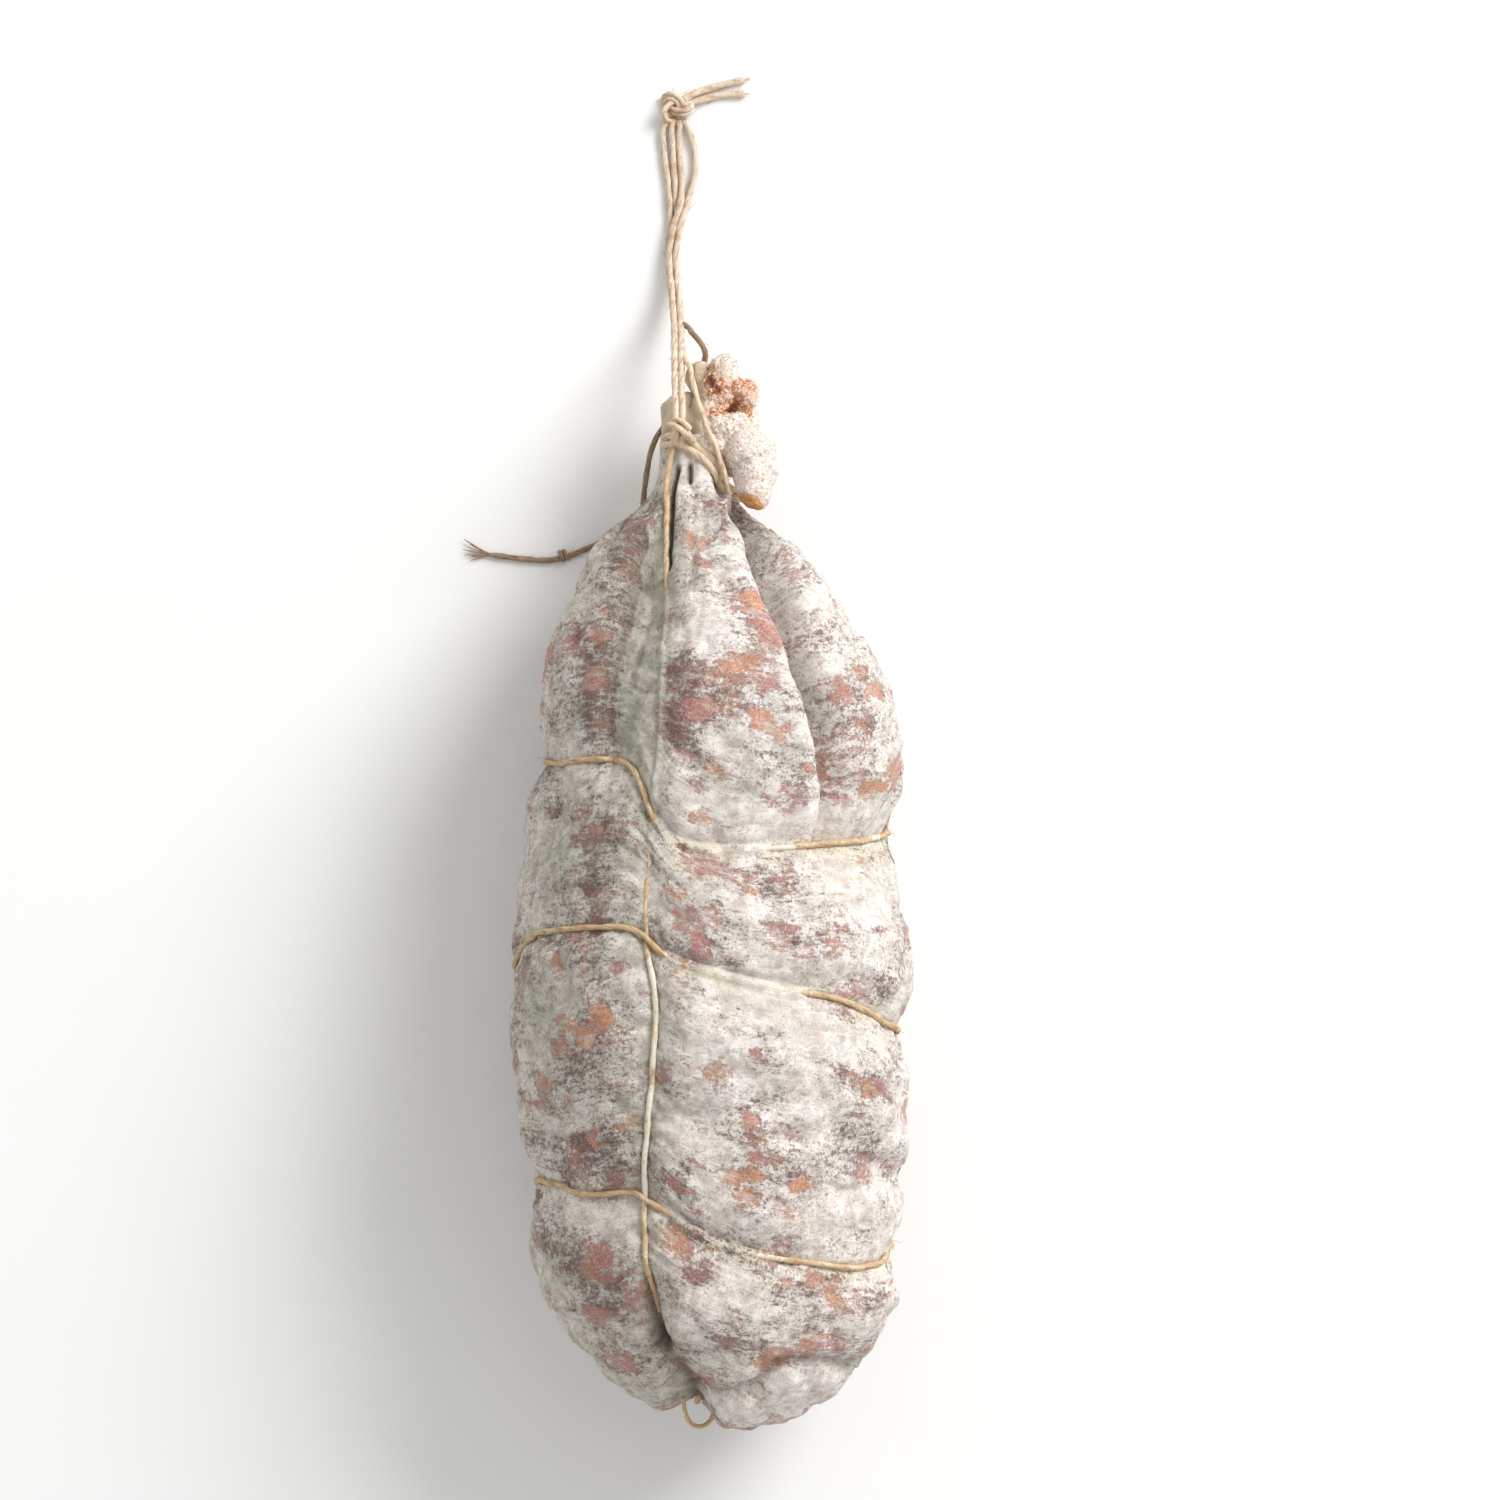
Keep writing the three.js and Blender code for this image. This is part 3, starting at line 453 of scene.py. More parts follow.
class Skin:
    """All that is known at stations of the skin: places, distances to twine and folds, and the relief."""

    def __init__(self, degrees, y):
        self.degrees = turned(degrees)
        self.y = np.asarray(y, float)
        self.plain = plain_point(self.degrees, self.y)
        self.out = plain_normal(self.degrees, self.y)
        self.quiet = 1 - ramp(self.y, 78, 98)
        self.at_low_end = ramp(-self.y, 108, 128)
        self.front_back = distance_to_line(self.plain, FRONT_TO_BACK_LINE)
        self.left_right = distance_to_line(self.plain, LEFT_TO_RIGHT_LINE)
        self.rings = [self.y - values_at(line, self.degrees) for line in RING_LINES]
        self.folds = {name: distance_to_line(self.plain, line) for name, line in FOLD_LINES.items()}
        self.flow = self.flow_points()

    def flow_points(self):
        """Places with y replaced by a height that follows the rings and droops away from the front strand."""
        near_ring = np.zeros(len(self.y))
        shift = np.zeros(len(self.y))
        for k, gap in enumerate(self.rings):
            level = self.y - gap
            mean = np.mean([value for _, value in RING_LINES[k]])
            pull = hollow(gap, FLOW_RING_REACH)
            shift += pull * (mean - level)
            near_ring += pull
        shift = shift / np.maximum(near_ring, 1)
        droop = FLOW_DROOP * np.exp(-self.front_back / FLOW_DROOP_REACH)
        height = self.y + shift - droop + FLOW_WOBBLE * noise(self.plain, 24, 5)
        toward_neck = ramp(self.y, GATHER_START, 92)
        across = 1 + 2.8 * toward_neck
        height = height - 0.75 * toward_neck * (height - GATHER_START)
        return np.stack([self.plain[:, 0] * across, height, self.plain[:, 2] * across], -1)

    def broad_relief(self):
        """Depth of rings, furrows and folds, and the slow swell of the filling."""
        down = -np.cos(np.radians(self.degrees))
        on_belly = ramp(down, 0.5, 0.95) * ramp(self.y, LOW_END + 12, LOW_END + 30)
        at_right = hollow(self.degrees - 85, 28)
        ring_depth = blend(RING_DEPTH + RING_DEPTH_AT_RIGHT * at_right, RING_DEPTH_BELOW, on_belly)
        rings = np.zeros(len(self.y))
        for gap in self.rings:
            rings = np.maximum(rings, ring_depth * hollow(gap, RING_REACH))
        furrow = blend(FURROW_DEPTH, FURROW_DEPTH_BELOW, on_belly)
        end_depth = blend(*FURROW_DEPTH_AT_END, ramp(self.plain[:, 2], 20, 38))
        cleft = blend(furrow, end_depth, self.at_low_end) * hollow(self.front_back, FURROW_REACH)
        side = blend(FURROW_DEPTH, SIDE_DEPTH_AT_END, self.at_low_end)
        side = side * hollow(self.left_right, FURROW_REACH)
        drawn = np.maximum(rings, np.maximum(cleft, side) * self.quiet)
        folds = np.zeros(len(self.y))
        for name, (line, depth, left, right, lip) in FOLDS.items():
            distance = self.folds[name]
            if name == "cleft":
                depth = depth * ramp(-self.y, 90, 113)
            side_of = self.side_of_fold(line)
            folds += depth * hollow(distance, np.where(side_of > 0, right, left))
            folds -= lip * hollow(distance - LIP_OFFSET, LIP_REACH) * (side_of < 0)
        x, y, z = self.plain.T
        swell = SWELL_HEIGHT * np.sin(x / 11 + 1.3) * np.sin(y / 13 + 0.4) * np.sin(z / 12 + 2.1)
        lumps = SLOW_LUMP_HEIGHT * noise(self.plain, 19, 1)
        lumps = lumps + ROUND_LUMP_HEIGHT * (pebbles(self.warped(), 11, 2) - 0.6)
        lobe = hollow(self.degrees - 6, 17) * ramp(self.y, 14, 36) * (1 - ramp(self.y, 74, 92))
        lobe = LOBE_HEIGHT * lobe
        bulge = BULGE_HEIGHT * hollow(self.degrees - 80, 25) * hollow(self.y + 104, 5)
        return self.quiet * (swell + lumps + lobe + bulge) - folds - drawn

    def warped(self):
        """Places shifted by slow noise, so that lumps of filling don't look like cells."""
        return self.plain + 2.5 * noise_vector(self.plain, 15, (6, 7, 8))

    def side_of_fold(self, line):
        """-1 to the left of a fold along the body and 1 to its right, or above and below a level one."""
        places = np.array(line, float)
        if np.ptp(places[:, 1]) > np.ptp(places[:, 0]) * 0.6:
            order = np.argsort(places[:, 1])
            at = np.interp(self.y, places[order, 1], places[order, 0])
            return np.sign(self.degrees - at)
        at = np.interp(self.degrees, places[:, 0], places[:, 1])
        return np.sign(at - self.y)

    def fine_relief(self):
        """Wrinkles along the flow, neck pleats, the bed of each strand and small bumps."""
        stretched = self.flow * np.array([0.28, 1.0, 0.28])
        folded = 1 - np.abs(noise(stretched, 3.4, 21)) * 2.2
        finer = 1 - np.abs(noise(stretched, 1.9, 22)) * 2.2
        gathered = hollow(self.front_back, 16) + 0.6 * hollow(self.left_right, 12)
        for gap in self.rings:
            gathered = gathered + 0.45 * hollow(gap, 9)
        crimp = (0.35 + 1.0 * np.clip(gathered, 0, 1)) * (0.7 + 0.8 * noise(self.plain, 13, 23))
        crimp = np.clip(crimp, 0.05, 1.3)
        wrinkles = crimp * (WRINKLE_HEIGHT * folded + FINE_WRINKLE_HEIGHT * finer) * self.quiet
        wave = np.radians(self.degrees * PLEATS_PER_TURN + 30) + 0.9 * noise(self.plain, 14, 24)
        pleats = ramp(self.y, 74, 99) * PLEAT_HEIGHT * (np.abs(np.sin(wave)) - 0.6)
        bumps = BUMP_HEIGHT * (pebbles(self.warped(), 5.2, 25) - 0.6)
        bumps = bumps + ROUGH_HEIGHT * rough_noise(self.plain, 3.6, 26, 3, 0.6)
        return wrinkles + pleats + self.quiet * bumps + self.beds()

    def beds(self):
        """A narrow groove under each open strand, a low ridge of mould over each buried one."""
        total = np.zeros(len(self.y))
        for k, gap in enumerate(self.rings):
            steep = 1 / np.sqrt(1 + self.ring_slope(k) ** 2)
            buried = ring_buried(k, self.degrees)
            ridge = 0.85 * np.clip(0.55 + 0.9 * noise(self.plain, 7, 27), 0.1, 1.2)
            total += blend(-BED_DEPTH, ridge, buried) * hollow(gap * steep, blend(1.25, 1.0, buried))
            total -= 0.9 * buried * hollow(gap * steep - 1.9, 0.8)
        on_front = (np.abs(self.degrees) < 90).astype(float)
        buried = blend(0.0, values_at(FRONT_BURIED, self.y), on_front)
        front = blend(-BED_DEPTH, 0.5, buried) * hollow(self.front_back, blend(1.2, 0.8, buried))
        return total + front * (1 - self.at_low_end) - 0.6 * hollow(self.left_right, 1.2)

    def ring_slope(self, k):
        """Rise of ring k over the distance around, at each angle."""
        ahead = values_at(RING_LINES[k], turned(self.degrees + 1))
        back = values_at(RING_LINES[k], turned(self.degrees - 1))
        return (ahead - back) / np.maximum(np.radians(2) * half_width(self.y), 1)

    def surface(self):
        """Plain point moved outwards by the relief, with the right fold's lip pushed over."""
        relief = self.broad_relief() + self.fine_relief()
        places = self.plain + self.out * relief[:, None]
        left_of_fold = self.side_of_fold(FOLDS["right_fold"][0]) < 0
        lip = hollow(self.folds["right_fold"] - 1.2, 2.2) * left_of_fold
        fade = ramp(self.y, 10, 26) * (1 - ramp(self.y, 84, 92))
        places[:, 0] += LIP_PUSH * lip * fade
        places[:, 2] = np.maximum(places[:, 2], 0)
        return places


def over_skin(stations, height):
    """Places at a height over the broad relief."""
    degrees, y = stations
    skin = Skin(degrees, y)
    relief = skin.broad_relief()
    return skin.plain + skin.out * (relief + height)[:, None]


# Meshes from arrays

def add_mesh(name, places_mm, faces, attributes, material):
    """A mesh object with smooth faces from places in millimetres and faces of place numbers."""
    mesh = bpy.data.meshes.new(name)
    mesh.from_pydata((np.asarray(places_mm) * MM).tolist(), [], faces)
    mesh.polygons.foreach_set("use_smooth", np.ones(len(mesh.polygons), bool))
    for key, values in attributes.items():
        kind, field = ("FLOAT", "value") if values.ndim == 1 else ("FLOAT_VECTOR", "vector")
        layer = mesh.attributes.new(key, kind, "POINT")
        layer.data.foreach_set(field, values.astype(np.float32).ravel())
    mesh.update()
    piece = bpy.data.objects.new(name, mesh)
    bpy.context.scene.collection.objects.link(piece)
    mesh.materials.append(material)
    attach(piece, "root")
    return piece


def grid_faces(rows, columns):
    """Quads of a grid that closes around its columns."""
    i, j = np.meshgrid(np.arange(rows - 1), np.arange(columns), indexing="ij")
    a = i * columns + j
    b = i * columns + (j + 1) % columns
    return np.stack([a, b, b + columns, a + columns], -1).reshape(-1, 4)


def cap_faces(first, middle, columns, flip):
    """Triangles from a ring of places to one place in its middle."""
    j = np.arange(columns)
    a, b = first + j, first + (j + 1) % columns
    m = np.full(columns, middle)
    return np.stack([m, b, a] if flip else [m, a, b], -1)


def closed_faces(rows, columns):
    """Faces of a grid whose first and last row close on the two places that follow it."""
    count = rows * columns
    start = cap_faces(0, count, columns, True)
    end = cap_faces(count - columns, count + 1, columns, False)
    return grid_faces(rows, columns).tolist() + start.tolist() + end.tolist()


def pointing_out(places, faces):
    """The faces, turned round if the volume they hold comes out negative."""
    corner = [places[[f[k] for f in faces]] for k in range(3)]
    volume = np.sum(corner[0] * np.cross(corner[1], corner[2]))
    return faces if volume > 0 else [f[::-1] for f in faces]


# Node trees

def paint(red, grey_green_and_shade, blue):
    """Linear colour of a screen colour from 0 to 255."""
    share = np.array([red, grey_green_and_shade, blue]) / 255
    linear = np.where(share <= 0.04045, share / 12.92, ((share + 0.055) / 1.055) ** 2.4)
    return (*linear, 1.0)


class Look:
    """A material whose nodes are added by calls that give back their output sockets.

    Colours are screen colours: red, green and blue from 0 to 255. Sizes are in millimetres.
    """

    def __init__(self, name):
        self.material = bpy.data.materials.new(name)
        self.material.use_nodes = True
        self.tree = self.material.node_tree
        self.tree.nodes.clear()

    def node(self, kind, inputs, **settings):
        made = self.tree.nodes.new(kind)
        for key, value in settings.items():
            setattr(made, key, value)
        for key, value in inputs.items():
            if isinstance(value, bpy.types.NodeSocket):
                self.tree.links.new(value, made.inputs[key])
            elif value is not None:
                made.inputs[key].default_value = value
        return made

    def place(self):
        return self.node("ShaderNodeTexCoord", {}).outputs["Object"]

    def attribute(self, name, output="Vector"):
        return self.node("ShaderNodeAttribute", {}, attribute_name=name).outputs[output]

    def parts(self, vector):
        return self.node("ShaderNodeSeparateXYZ", {0: vector}).outputs

    def scaled(self, vector, scale):
        return self.node("ShaderNodeMapping", {"Vector": vector, "Scale": scale}).outputs["Vector"]

    def noise_node(self, vector, size, detail, roughness):
        inputs = {"Vector": vector, "Scale": 1 / (size * MM), "Detail": detail, "Roughness": roughness}
        return self.node("ShaderNodeTexNoise", inputs)

    def noise(self, vector, size, detail, roughness):
        return self.noise_node(vector, size, detail, roughness).outputs["Fac"]

    def warped(self, vector, size, reach):
        """The vector moved by up to reach with noise of the given size."""
        noise = self.noise_node(vector, size, 2, 0.5).outputs["Color"]
        centred = self.node("ShaderNodeVectorMath", {0: noise, 1: (0.5, 0.5, 0.5)}, operation="SUBTRACT")
        shift = self.node("ShaderNodeVectorMath", {0: centred.outputs[0], "Scale": 2 * reach * MM},
                          operation="SCALE")
        return self.node("ShaderNodeVectorMath", {0: vector, 1: shift.outputs[0]}, operation="ADD").outputs[0]

    def cells(self, vector, size, output):
        return self.node("ShaderNodeTexVoronoi", {"Vector": vector, "Scale": 1 / (size * MM)}).outputs[output]

    def math(self, operation, a, b, clamp=False):
        return self.node("ShaderNodeMath", {0: a, 1: b}, operation=operation, use_clamp=clamp).outputs[0]

    def times(self, a, b, clamp=False):
        return self.math("MULTIPLY", a, b, clamp)

    def plus(self, a, b, clamp=False):
        return self.math("ADD", a, b, clamp)

    def swung(self, value, noise, strength, clamp=False):
        """The value plus strength times the noise's distance from its middle."""
        return self.plus(value, self.times(self.math("SUBTRACT", noise, 0.5), strength), clamp)

    def step(self, value, start, end, low=0.0, high=1.0):
        """Low before start, high after end and smooth between."""
        inputs = {"Value": value, "From Min": start, "From Max": end, "To Min": low, "To Max": high}
        return self.node("ShaderNodeMapRange", inputs, interpolation_type="SMOOTHSTEP").outputs["Result"]

    def mix(self, share, a, b):
        """a where share is 0, b where it is 1."""
        a, b = [paint(*colour) if isinstance(colour, tuple) else colour for colour in (a, b)]
        return self.node("ShaderNodeMix", {0: share, 6: a, 7: b}, data_type="RGBA").outputs[2]

    def mottled(self, vector, size, detail, roughness, a, b):
        """Two colours mixed by noise."""
        return self.mix(self.noise(vector, size, detail, roughness), a, b)

    def bump(self, height, distance, strength, normal=None):
        inputs = {"Height": height, "Distance": distance * MM, "Strength": strength, "Normal": normal}
        return self.node("ShaderNodeBump", inputs).outputs["Normal"]

    def finish(self, colour, roughness, normal, **sockets):
        """The shader, with the sockets named by their words joined by underscores."""
        inputs = {"Base Color": colour, "Roughness": roughness, "Normal": normal}
        inputs.update({key.replace("_", " "): value for key, value in sockets.items()})
        shader = self.node("ShaderNodeBsdfPrincipled", inputs)
        self.node("ShaderNodeOutputMaterial", {"Surface": shader.outputs[0]}, is_active_output=True)
        return self.material


def casing_look():
    """Dried meat under powdery mould whose cover thins out in grains and streaks, with painted shade in its
    folds and creases.
    """
    look = Look("moulded_casing")
    place = look.place()
    flow = look.attribute("flow")
    bare, tone, thin_mould_and_shade = look.parts(look.attribute("meat"))[:3]
    grey_green_and_shade, cream, shade_and_grime = look.parts(look.attribute("bloom_and_shade"))[:3]
    streak_place = look.scaled(flow, (0.3, 1.0, 0.3))
    streaks = look.noise(streak_place, 1.5, 5, 0.75)
    broad = look.noise(streak_place, 7, 3, 0.6)
    in_patch = look.step(bare, 0.2, 0.6)

    # Lean and fat show as patches of one colour each where the skin is bare, as chunks elsewhere
    chunk = look.parts(look.cells(look.warped(place, 3.5, 2.4), 6.5, "Color"))[0]
    lean = look.mottled(place, 0.9, 4, 0.7, (80, 46, 42), (154, 118, 110))
    russet = look.mottled(place, 1.1, 4, 0.7, (142, 88, 68), (196, 144, 122))
    chunks = look.mix(look.step(chunk, 0.6, 0.75), lean, russet)
    orange = look.mottled(place, 1.3, 4, 0.7, (162, 94, 58), (222, 160, 124))
    rosy = look.mottled(place, 1.0, 4, 0.7, (138, 76, 68), (206, 148, 136))
    maroon = look.mottled(place, 0.8, 4, 0.7, (74, 44, 38), (144, 102, 88))
    cut = look.mix(look.step(tone, 0.12, 0.5), orange, rosy)
    cut = look.mix(look.step(tone, 0.55, 0.9), cut, maroon)
    meat = look.mix(look.step(bare, 0.1, 0.4), chunks, cut)

    # Mould: white, grey-green or creamy, with pale wisps and dark specks; the grey-green share stands partly
    # for painted shade on the left side and beside the right fold
    dusty = look.noise(place, 3.2, 4, 0.65)
    white = look.mix(look.step(dusty, 0.35, 0.65), (210, 198, 192), (247, 241, 235))
    grey = look.mix(look.step(dusty, 0.32, 0.68), (162, 160, 145), (200, 199, 185))
    mould = look.mix(look.swung(grey_green_and_shade, broad, 1.1, True), white, grey)
    creamy = look.times(cream, look.step(look.noise(streak_place, 1.3, 3, 0.6), 0.3, 0.6), True)
    mould = look.mix(creamy, mould, (230, 220, 194))
    wisps = look.step(look.noise(look.scaled(flow, (0.14, 1.0, 0.14)), 0.9, 3, 0.65), 0.54, 0.66, 0.0, 0.65)
    mould = look.mix(look.times(wisps, look.step(grey_green_and_shade, 0.3, 0.85, 1.0, 0.2)), mould, (244, 240, 233))
    specks = look.step(look.noise(place, 0.42, 3, 0.7), 0.36, 0.48, 0.22, 0.0)
    mould = look.mix(specks, mould, (158, 142, 132))

    # The cover thins where it is worn or bare, and where it stands for painted shade, in grains and streaks
    wear_and_shade = look.swung(thin_mould_and_shade, broad, 1.0)
    grain = look.plus(look.times(look.noise(place, 1.3, 5, 0.8), 0.55), look.times(streaks, 0.45))
    level = look.plus(look.times(wear_and_shade, 0.16), look.times(bare, 0.125))
    cover = look.step(look.math("SUBTRACT", grain, look.plus(level, 0.335)), -0.055, 0.07, 0.06, 0.96)
    colour = look.mix(cover, meat, mould)
    pepper = look.step(look.noise(place, 0.62, 3, 0.75), 0.54, 0.61)
    peppered = look.times(pepper, look.step(wear_and_shade, -0.1, 0.9, 0.2, 0.74))
    colour = look.mix(peppered, colour, look.mix(0.3, lean, (66, 42, 38)))
    salt = look.step(look.noise(place, 0.5, 3, 0.7), 0.52, 0.62, 0.0, 0.42)
    colour = look.mix(look.times(salt, in_patch), colour, mould)
    veil = look.step(look.noise(streak_place, 2.4, 4, 0.7), 0.52, 0.64, 0.0, 0.4)
    colour = look.mix(look.times(veil, in_patch), colour, mould)
    # Painted shade, with some grime: dark brown where the shade-and-grime mask is high, in folds, slits,
    # creases and the cleft
    shade_and_grime_colour = look.mottled(place, 2, 3, 0.6, (46, 34, 28), (104, 82, 64))
    colour = look.mix(look.times(shade_and_grime, 0.85, True), colour, shade_and_grime_colour)

    height = look.plus(look.times(cover, 0.6), look.times(streaks, 1.2))
    height = look.plus(height, look.times(dusty, 0.6))
    normal = look.bump(look.noise(place, 0.3, 2, 0.6), 0.05, 0.6, look.bump(height, 0.3, 0.8))
    return look.finish(colour, look.step(cover, 0.0, 0.9, 0.55, 0.92), normal, Specular_IOR_Level=0.35)


def knob_look():
    """Salt and mould grains over dried amber casing that shows in the crevices, with painted shade in the slit
    and the deepest crevices.
    """
    look = Look("crusted_knob")
    place = look.place()
    crevice, amber, smooth = look.parts(look.attribute("crust"))[:3]
    grain = look.noise(place, 0.9, 5, 0.75)
    crumb_place = look.warped(place, 1.2, 0.3)
    crumb = look.parts(look.cells(crumb_place, 0.5, "Color"))[0]
    white = look.mix(look.step(grain, 0.36, 0.56), (222, 202, 188), (246, 236, 226))
    white = look.mix(look.step(crumb, 0.76, 0.86, 0.0, 0.7), white, (192, 156, 142))
    rust = look.mottled(place, 1.1, 3, 0.6, (150, 74, 40), (224, 160, 112))
    rust = look.mix(look.step(crumb, 0.58, 0.68, 0.0, 0.85), rust, (240, 224, 202))
    honey = look.mottled(place, 1.3, 4, 0.65, (184, 106, 52), (234, 184, 122))
    beige = look.mottled(place, 2.2, 4, 0.6, (174, 152, 124), (224, 208, 184))
    colour = look.mix(look.step(look.swung(crevice, grain, 1.3), 0.26, 0.56), white, rust)
    colour = look.mix(look.step(look.swung(amber, grain, 1.1), 0.36, 0.66), colour, honey)
    colour = look.mix(smooth, colour, beige)
    # Painted shade: darkest brown in the slit and the deepest rusty crevices
    colour = look.mix(look.step(crevice, 0.85, 1.05), colour, (104, 40, 18))
    pits = look.cells(crumb_place, 0.62, "Distance")
    normal = look.bump(look.math("SUBTRACT", 1.0, pits), 0.25, 0.8)
    normal = look.bump(look.noise(place, 0.5, 3, 0.65), 0.18, 0.7, normal)
    return look.finish(colour, 0.7, normal, Specular_IOR_Level=0.4, Subsurface_Weight=0.12,
                       Subsurface_Scale=0.002)


def grain_look():
    """White salt and dried mould crumbs."""
    look = Look("salt_grains")
    tint = look.mottled(look.place(), 1.4, 3, 0.7, (214, 190, 172), (240, 232, 222))
    return look.finish(tint, 0.6, None, Specular_IOR_Level=0.45)


def twine_look(name, pale, deep):
    """Twisted natural fibre: fine lines along the twine, painted shade between the plies, mould where dusty."""
    look = Look(name)
    place = look.place()
    along, around, ply = look.parts(look.attribute("lay"))[:3]
    lines = look.node("ShaderNodeCombineXYZ", {0: along, 1: around, 2: 0.0}).outputs[0]
    fibre = look.noise(lines, 0.8, 5, 0.8)
    colour = look.mix(look.step(fibre, 0.36, 0.64), deep, pale)
    # Painted shade in the grooves between the plies
    colour = look.mix(look.times(look.step(ply, 0.4, 0.0), 0.5), colour, (132, 102, 76))
    patchy = look.step(look.noise(place, 3.5, 3, 0.6), 0.5, 0.72, 0.0, 0.55)
    colour = look.mix(patchy, colour, (186, 138, 88))
    dusty = look.swung(look.attribute("dust", "Fac"), look.noise(place, 0.9, 3, 0.6), 1.4)
    colour = look.mix(look.step(dusty, 0.35, 0.75), colour, (232, 224, 206))
    return look.finish(colour, 0.82, look.bump(fibre, 0.12, 0.8), Specular_IOR_Level=0.3)


CASING = casing_look()
KNOB = knob_look()
GRAINS = grain_look()
HELD_TWINE = twine_look("held_twine", (228, 206, 170), (180, 142, 98))
FREE_TWINE = twine_look("hanging_twine", (240, 226, 208), (204, 178, 150))
TIE_TWINE = twine_look("tie_twine", (244, 229, 204), (206, 178, 144))
# A darker copy of the twine for strands that lie in shade: painted shade
TWINE_IN_SHADE = twine_look("shaded_twine", (176, 156, 132), (120, 96, 72))

# Bare patches of meat that stand out on the best side: x, y, half length, half width, turn and tone,
# which is 0 for orange fat, 0.5 for rosy meat and 0.9 for dark meat
BARE_PATCHES = [
    (-2.9, 84.5, 3.9, 2.2, -10, 0.1), (-2, 79.2, 3.4, 1.6, -15, 0.5), (11.5, 69.5, 3, 2.4, -50, 0.1),
    (14.7, 62, 5.2, 2.8, -65, 0.35), (8.5, 54.5, 6, 2, 8, 0.15), (15.2, 49.6, 2.8, 2.8, 0, 0.5),
    (1, 43.5, 3, 1.5, -20, 0.45), (15.5, 39, 6, 2.6, -35, 0.2), (-8.6, 39, 4.6, 4.6, 0, 0.8),
    (2.8, 27, 2.7, 2.8, 0, 0.15), (19.5, 20.5, 6, 3.2, 5, 0.55), (-1.5, 16.6, 3.6, 2.2, -5, 0.1),
    (33, 47.2, 3.2, 3.4, 60, 0.35), (41, 47.5, 2.4, 2.6, 40, 0.25), (40.6, 22.8, 3.4, 2.2, 10, 0.15),
    (33, 20, 3, 2, -10, 0.5), (46.6, 27, 1.6, 4, 0, 0.3), (-6.2, 52, 3.6, 4.4, 30, 0.85),
    (21, 74.5, 5, 1.4, -60, 0.6), (-6, -8.5, 3.2, 3, 0, 0.55), (-2.3, -15.2, 2.4, 5, 5, 0.5),
    (-0.4, 4.8, 6, 3.4, -10, 0.6), (18.8, -11.4, 5, 2, -10, 0.5), (-21.4, -20.5, 2.4, 2, 0, 0.4),
    (-17, -26.7, 2.2, 2.5, 0, 0.5), (-26.2, -32.4, 2.2, 3.2, 20, 0.12), (-30, -38, 2.2, 2.6, 10, 0.1),
    (-36.2, -22, 1.6, 3.6, 0, 0.05), (-40.5, -50, 2, 2.6, 0, 0.3), (-10.9, -47.2, 2.7, 2.3, 0, 0.35),
    (2, -46.3, 6, 2.8, 12, 0.1), (12, -43, 1.8, 1.8, 0, 0.6), (10.2, -58.2, 2.1, 2.6, 20, 0.35),
    (7, -72.5, 3.4, 2, 0, 0.2), (23.3, -74.4, 2.6, 2.3, 0, 0.15), (19.5, -81, 2, 3.2, 35, 0.3),
    (-6, -72, 2.6, 3, 0, 0.85), (-23.2, -75.5, 2.2, 3.4, 0, 0.7), (-25.5, -91.6, 2.2, 2.6, 0, 0.5),
    (-27.5, -108, 3.4, 2.6, -30, 0.35), (-1.1, -123.6, 2.6, 3, 0, 0.35), (16.5, -118, 6.4, 2.3, 25, 0.15),
    (31.4, -102.6, 2, 3.2, 20, 0.2), (31.9, -115, 3.6, 3.4, 40, 0.5), (25.2, -115, 3.4, 3, 20, 0.25),
    (-3.5, -97, 5, 2.6, 20, 0.75), (17.5, -133.2, 2.8, 1.4, 0, 0.6), (-31, -64.6, 3.2, 2.2, -30, 0.9),
    (-32, 60.7, 1.8, 1.8, 0, 0.9), (49.2, -57, 1.4, 3, 0, 0.2), (-27, 62, 2.4, 2, 0, 0.3),
]


# Where the mould is thin, without a clear edge: x, y, half length, half width, turn, strength
THIN_AREAS = [
    (-8, 42, 10, 13, 10, 0.5), (10, 56, 12, 16, -15, 0.45), (-24, 11, 9, 7, 0, 0.6),
    (-30, 58, 5, 12, 10, 0.35), (4, -1, 14, 6, -8, 0.4), (-30, -20, 7, 12, 0, 0.3), (30, 42, 10, 14, 20, 0.3),
    (-8, -16, 9, 7, 0, 0.4), (20, -66, 18, 8, 0, 0.25), (-22, -72, 8, 8, 0, 0.45),
    (-26, -98, 9, 14, -20, 0.45), (-5, -92, 9, 7, 0, 0.4), (12, -112, 12, 9, 20, 0.35),
    (36, -60, 8, 20, 0, 0.3), (26, -14, 14, 8, 0, 0.2), (-12, -66, 6, 12, 0, 0.35),
]
# Where it is thick and pale, in the same way
THICK_AREAS = [
    (2, 66, 5, 5, 0, 0.5), (4, 34, 9, 6, -20, 0.5), (4, -24, 18, 5, -14, 0.6), (14, -34, 16, 5, -10, 0.5),
    (4, 22, 8, 5, 0, 0.3), (33, 34, 7, 7, 0, 0.5), (8, -5, 12, 3, -10, 0.5), (-6, -58, 9, 5, 0, 0.4),
    (6, -84, 16, 4, -14, 0.4), (22, -128, 10, 5, 10, 0.4), (-28, 25, 8, 7, 0, 0.3), (-2, -52, 6, 5, 0, 0.3),
]
# Small patches at places picked by chance, weaker on the top side, where the list above has the large ones
SCATTERED_PATCHES = 420
SCATTERED_TONES = [0.12, 0.35, 0.55, 0.75, 0.9]
SCATTERED_SHARES = [0.2, 0.2, 0.25, 0.2, 0.15]
SCATTERED_STRENGTH = 0.55
SCATTERED_STRETCH = np.array([0.7, 1.0, 0.7])


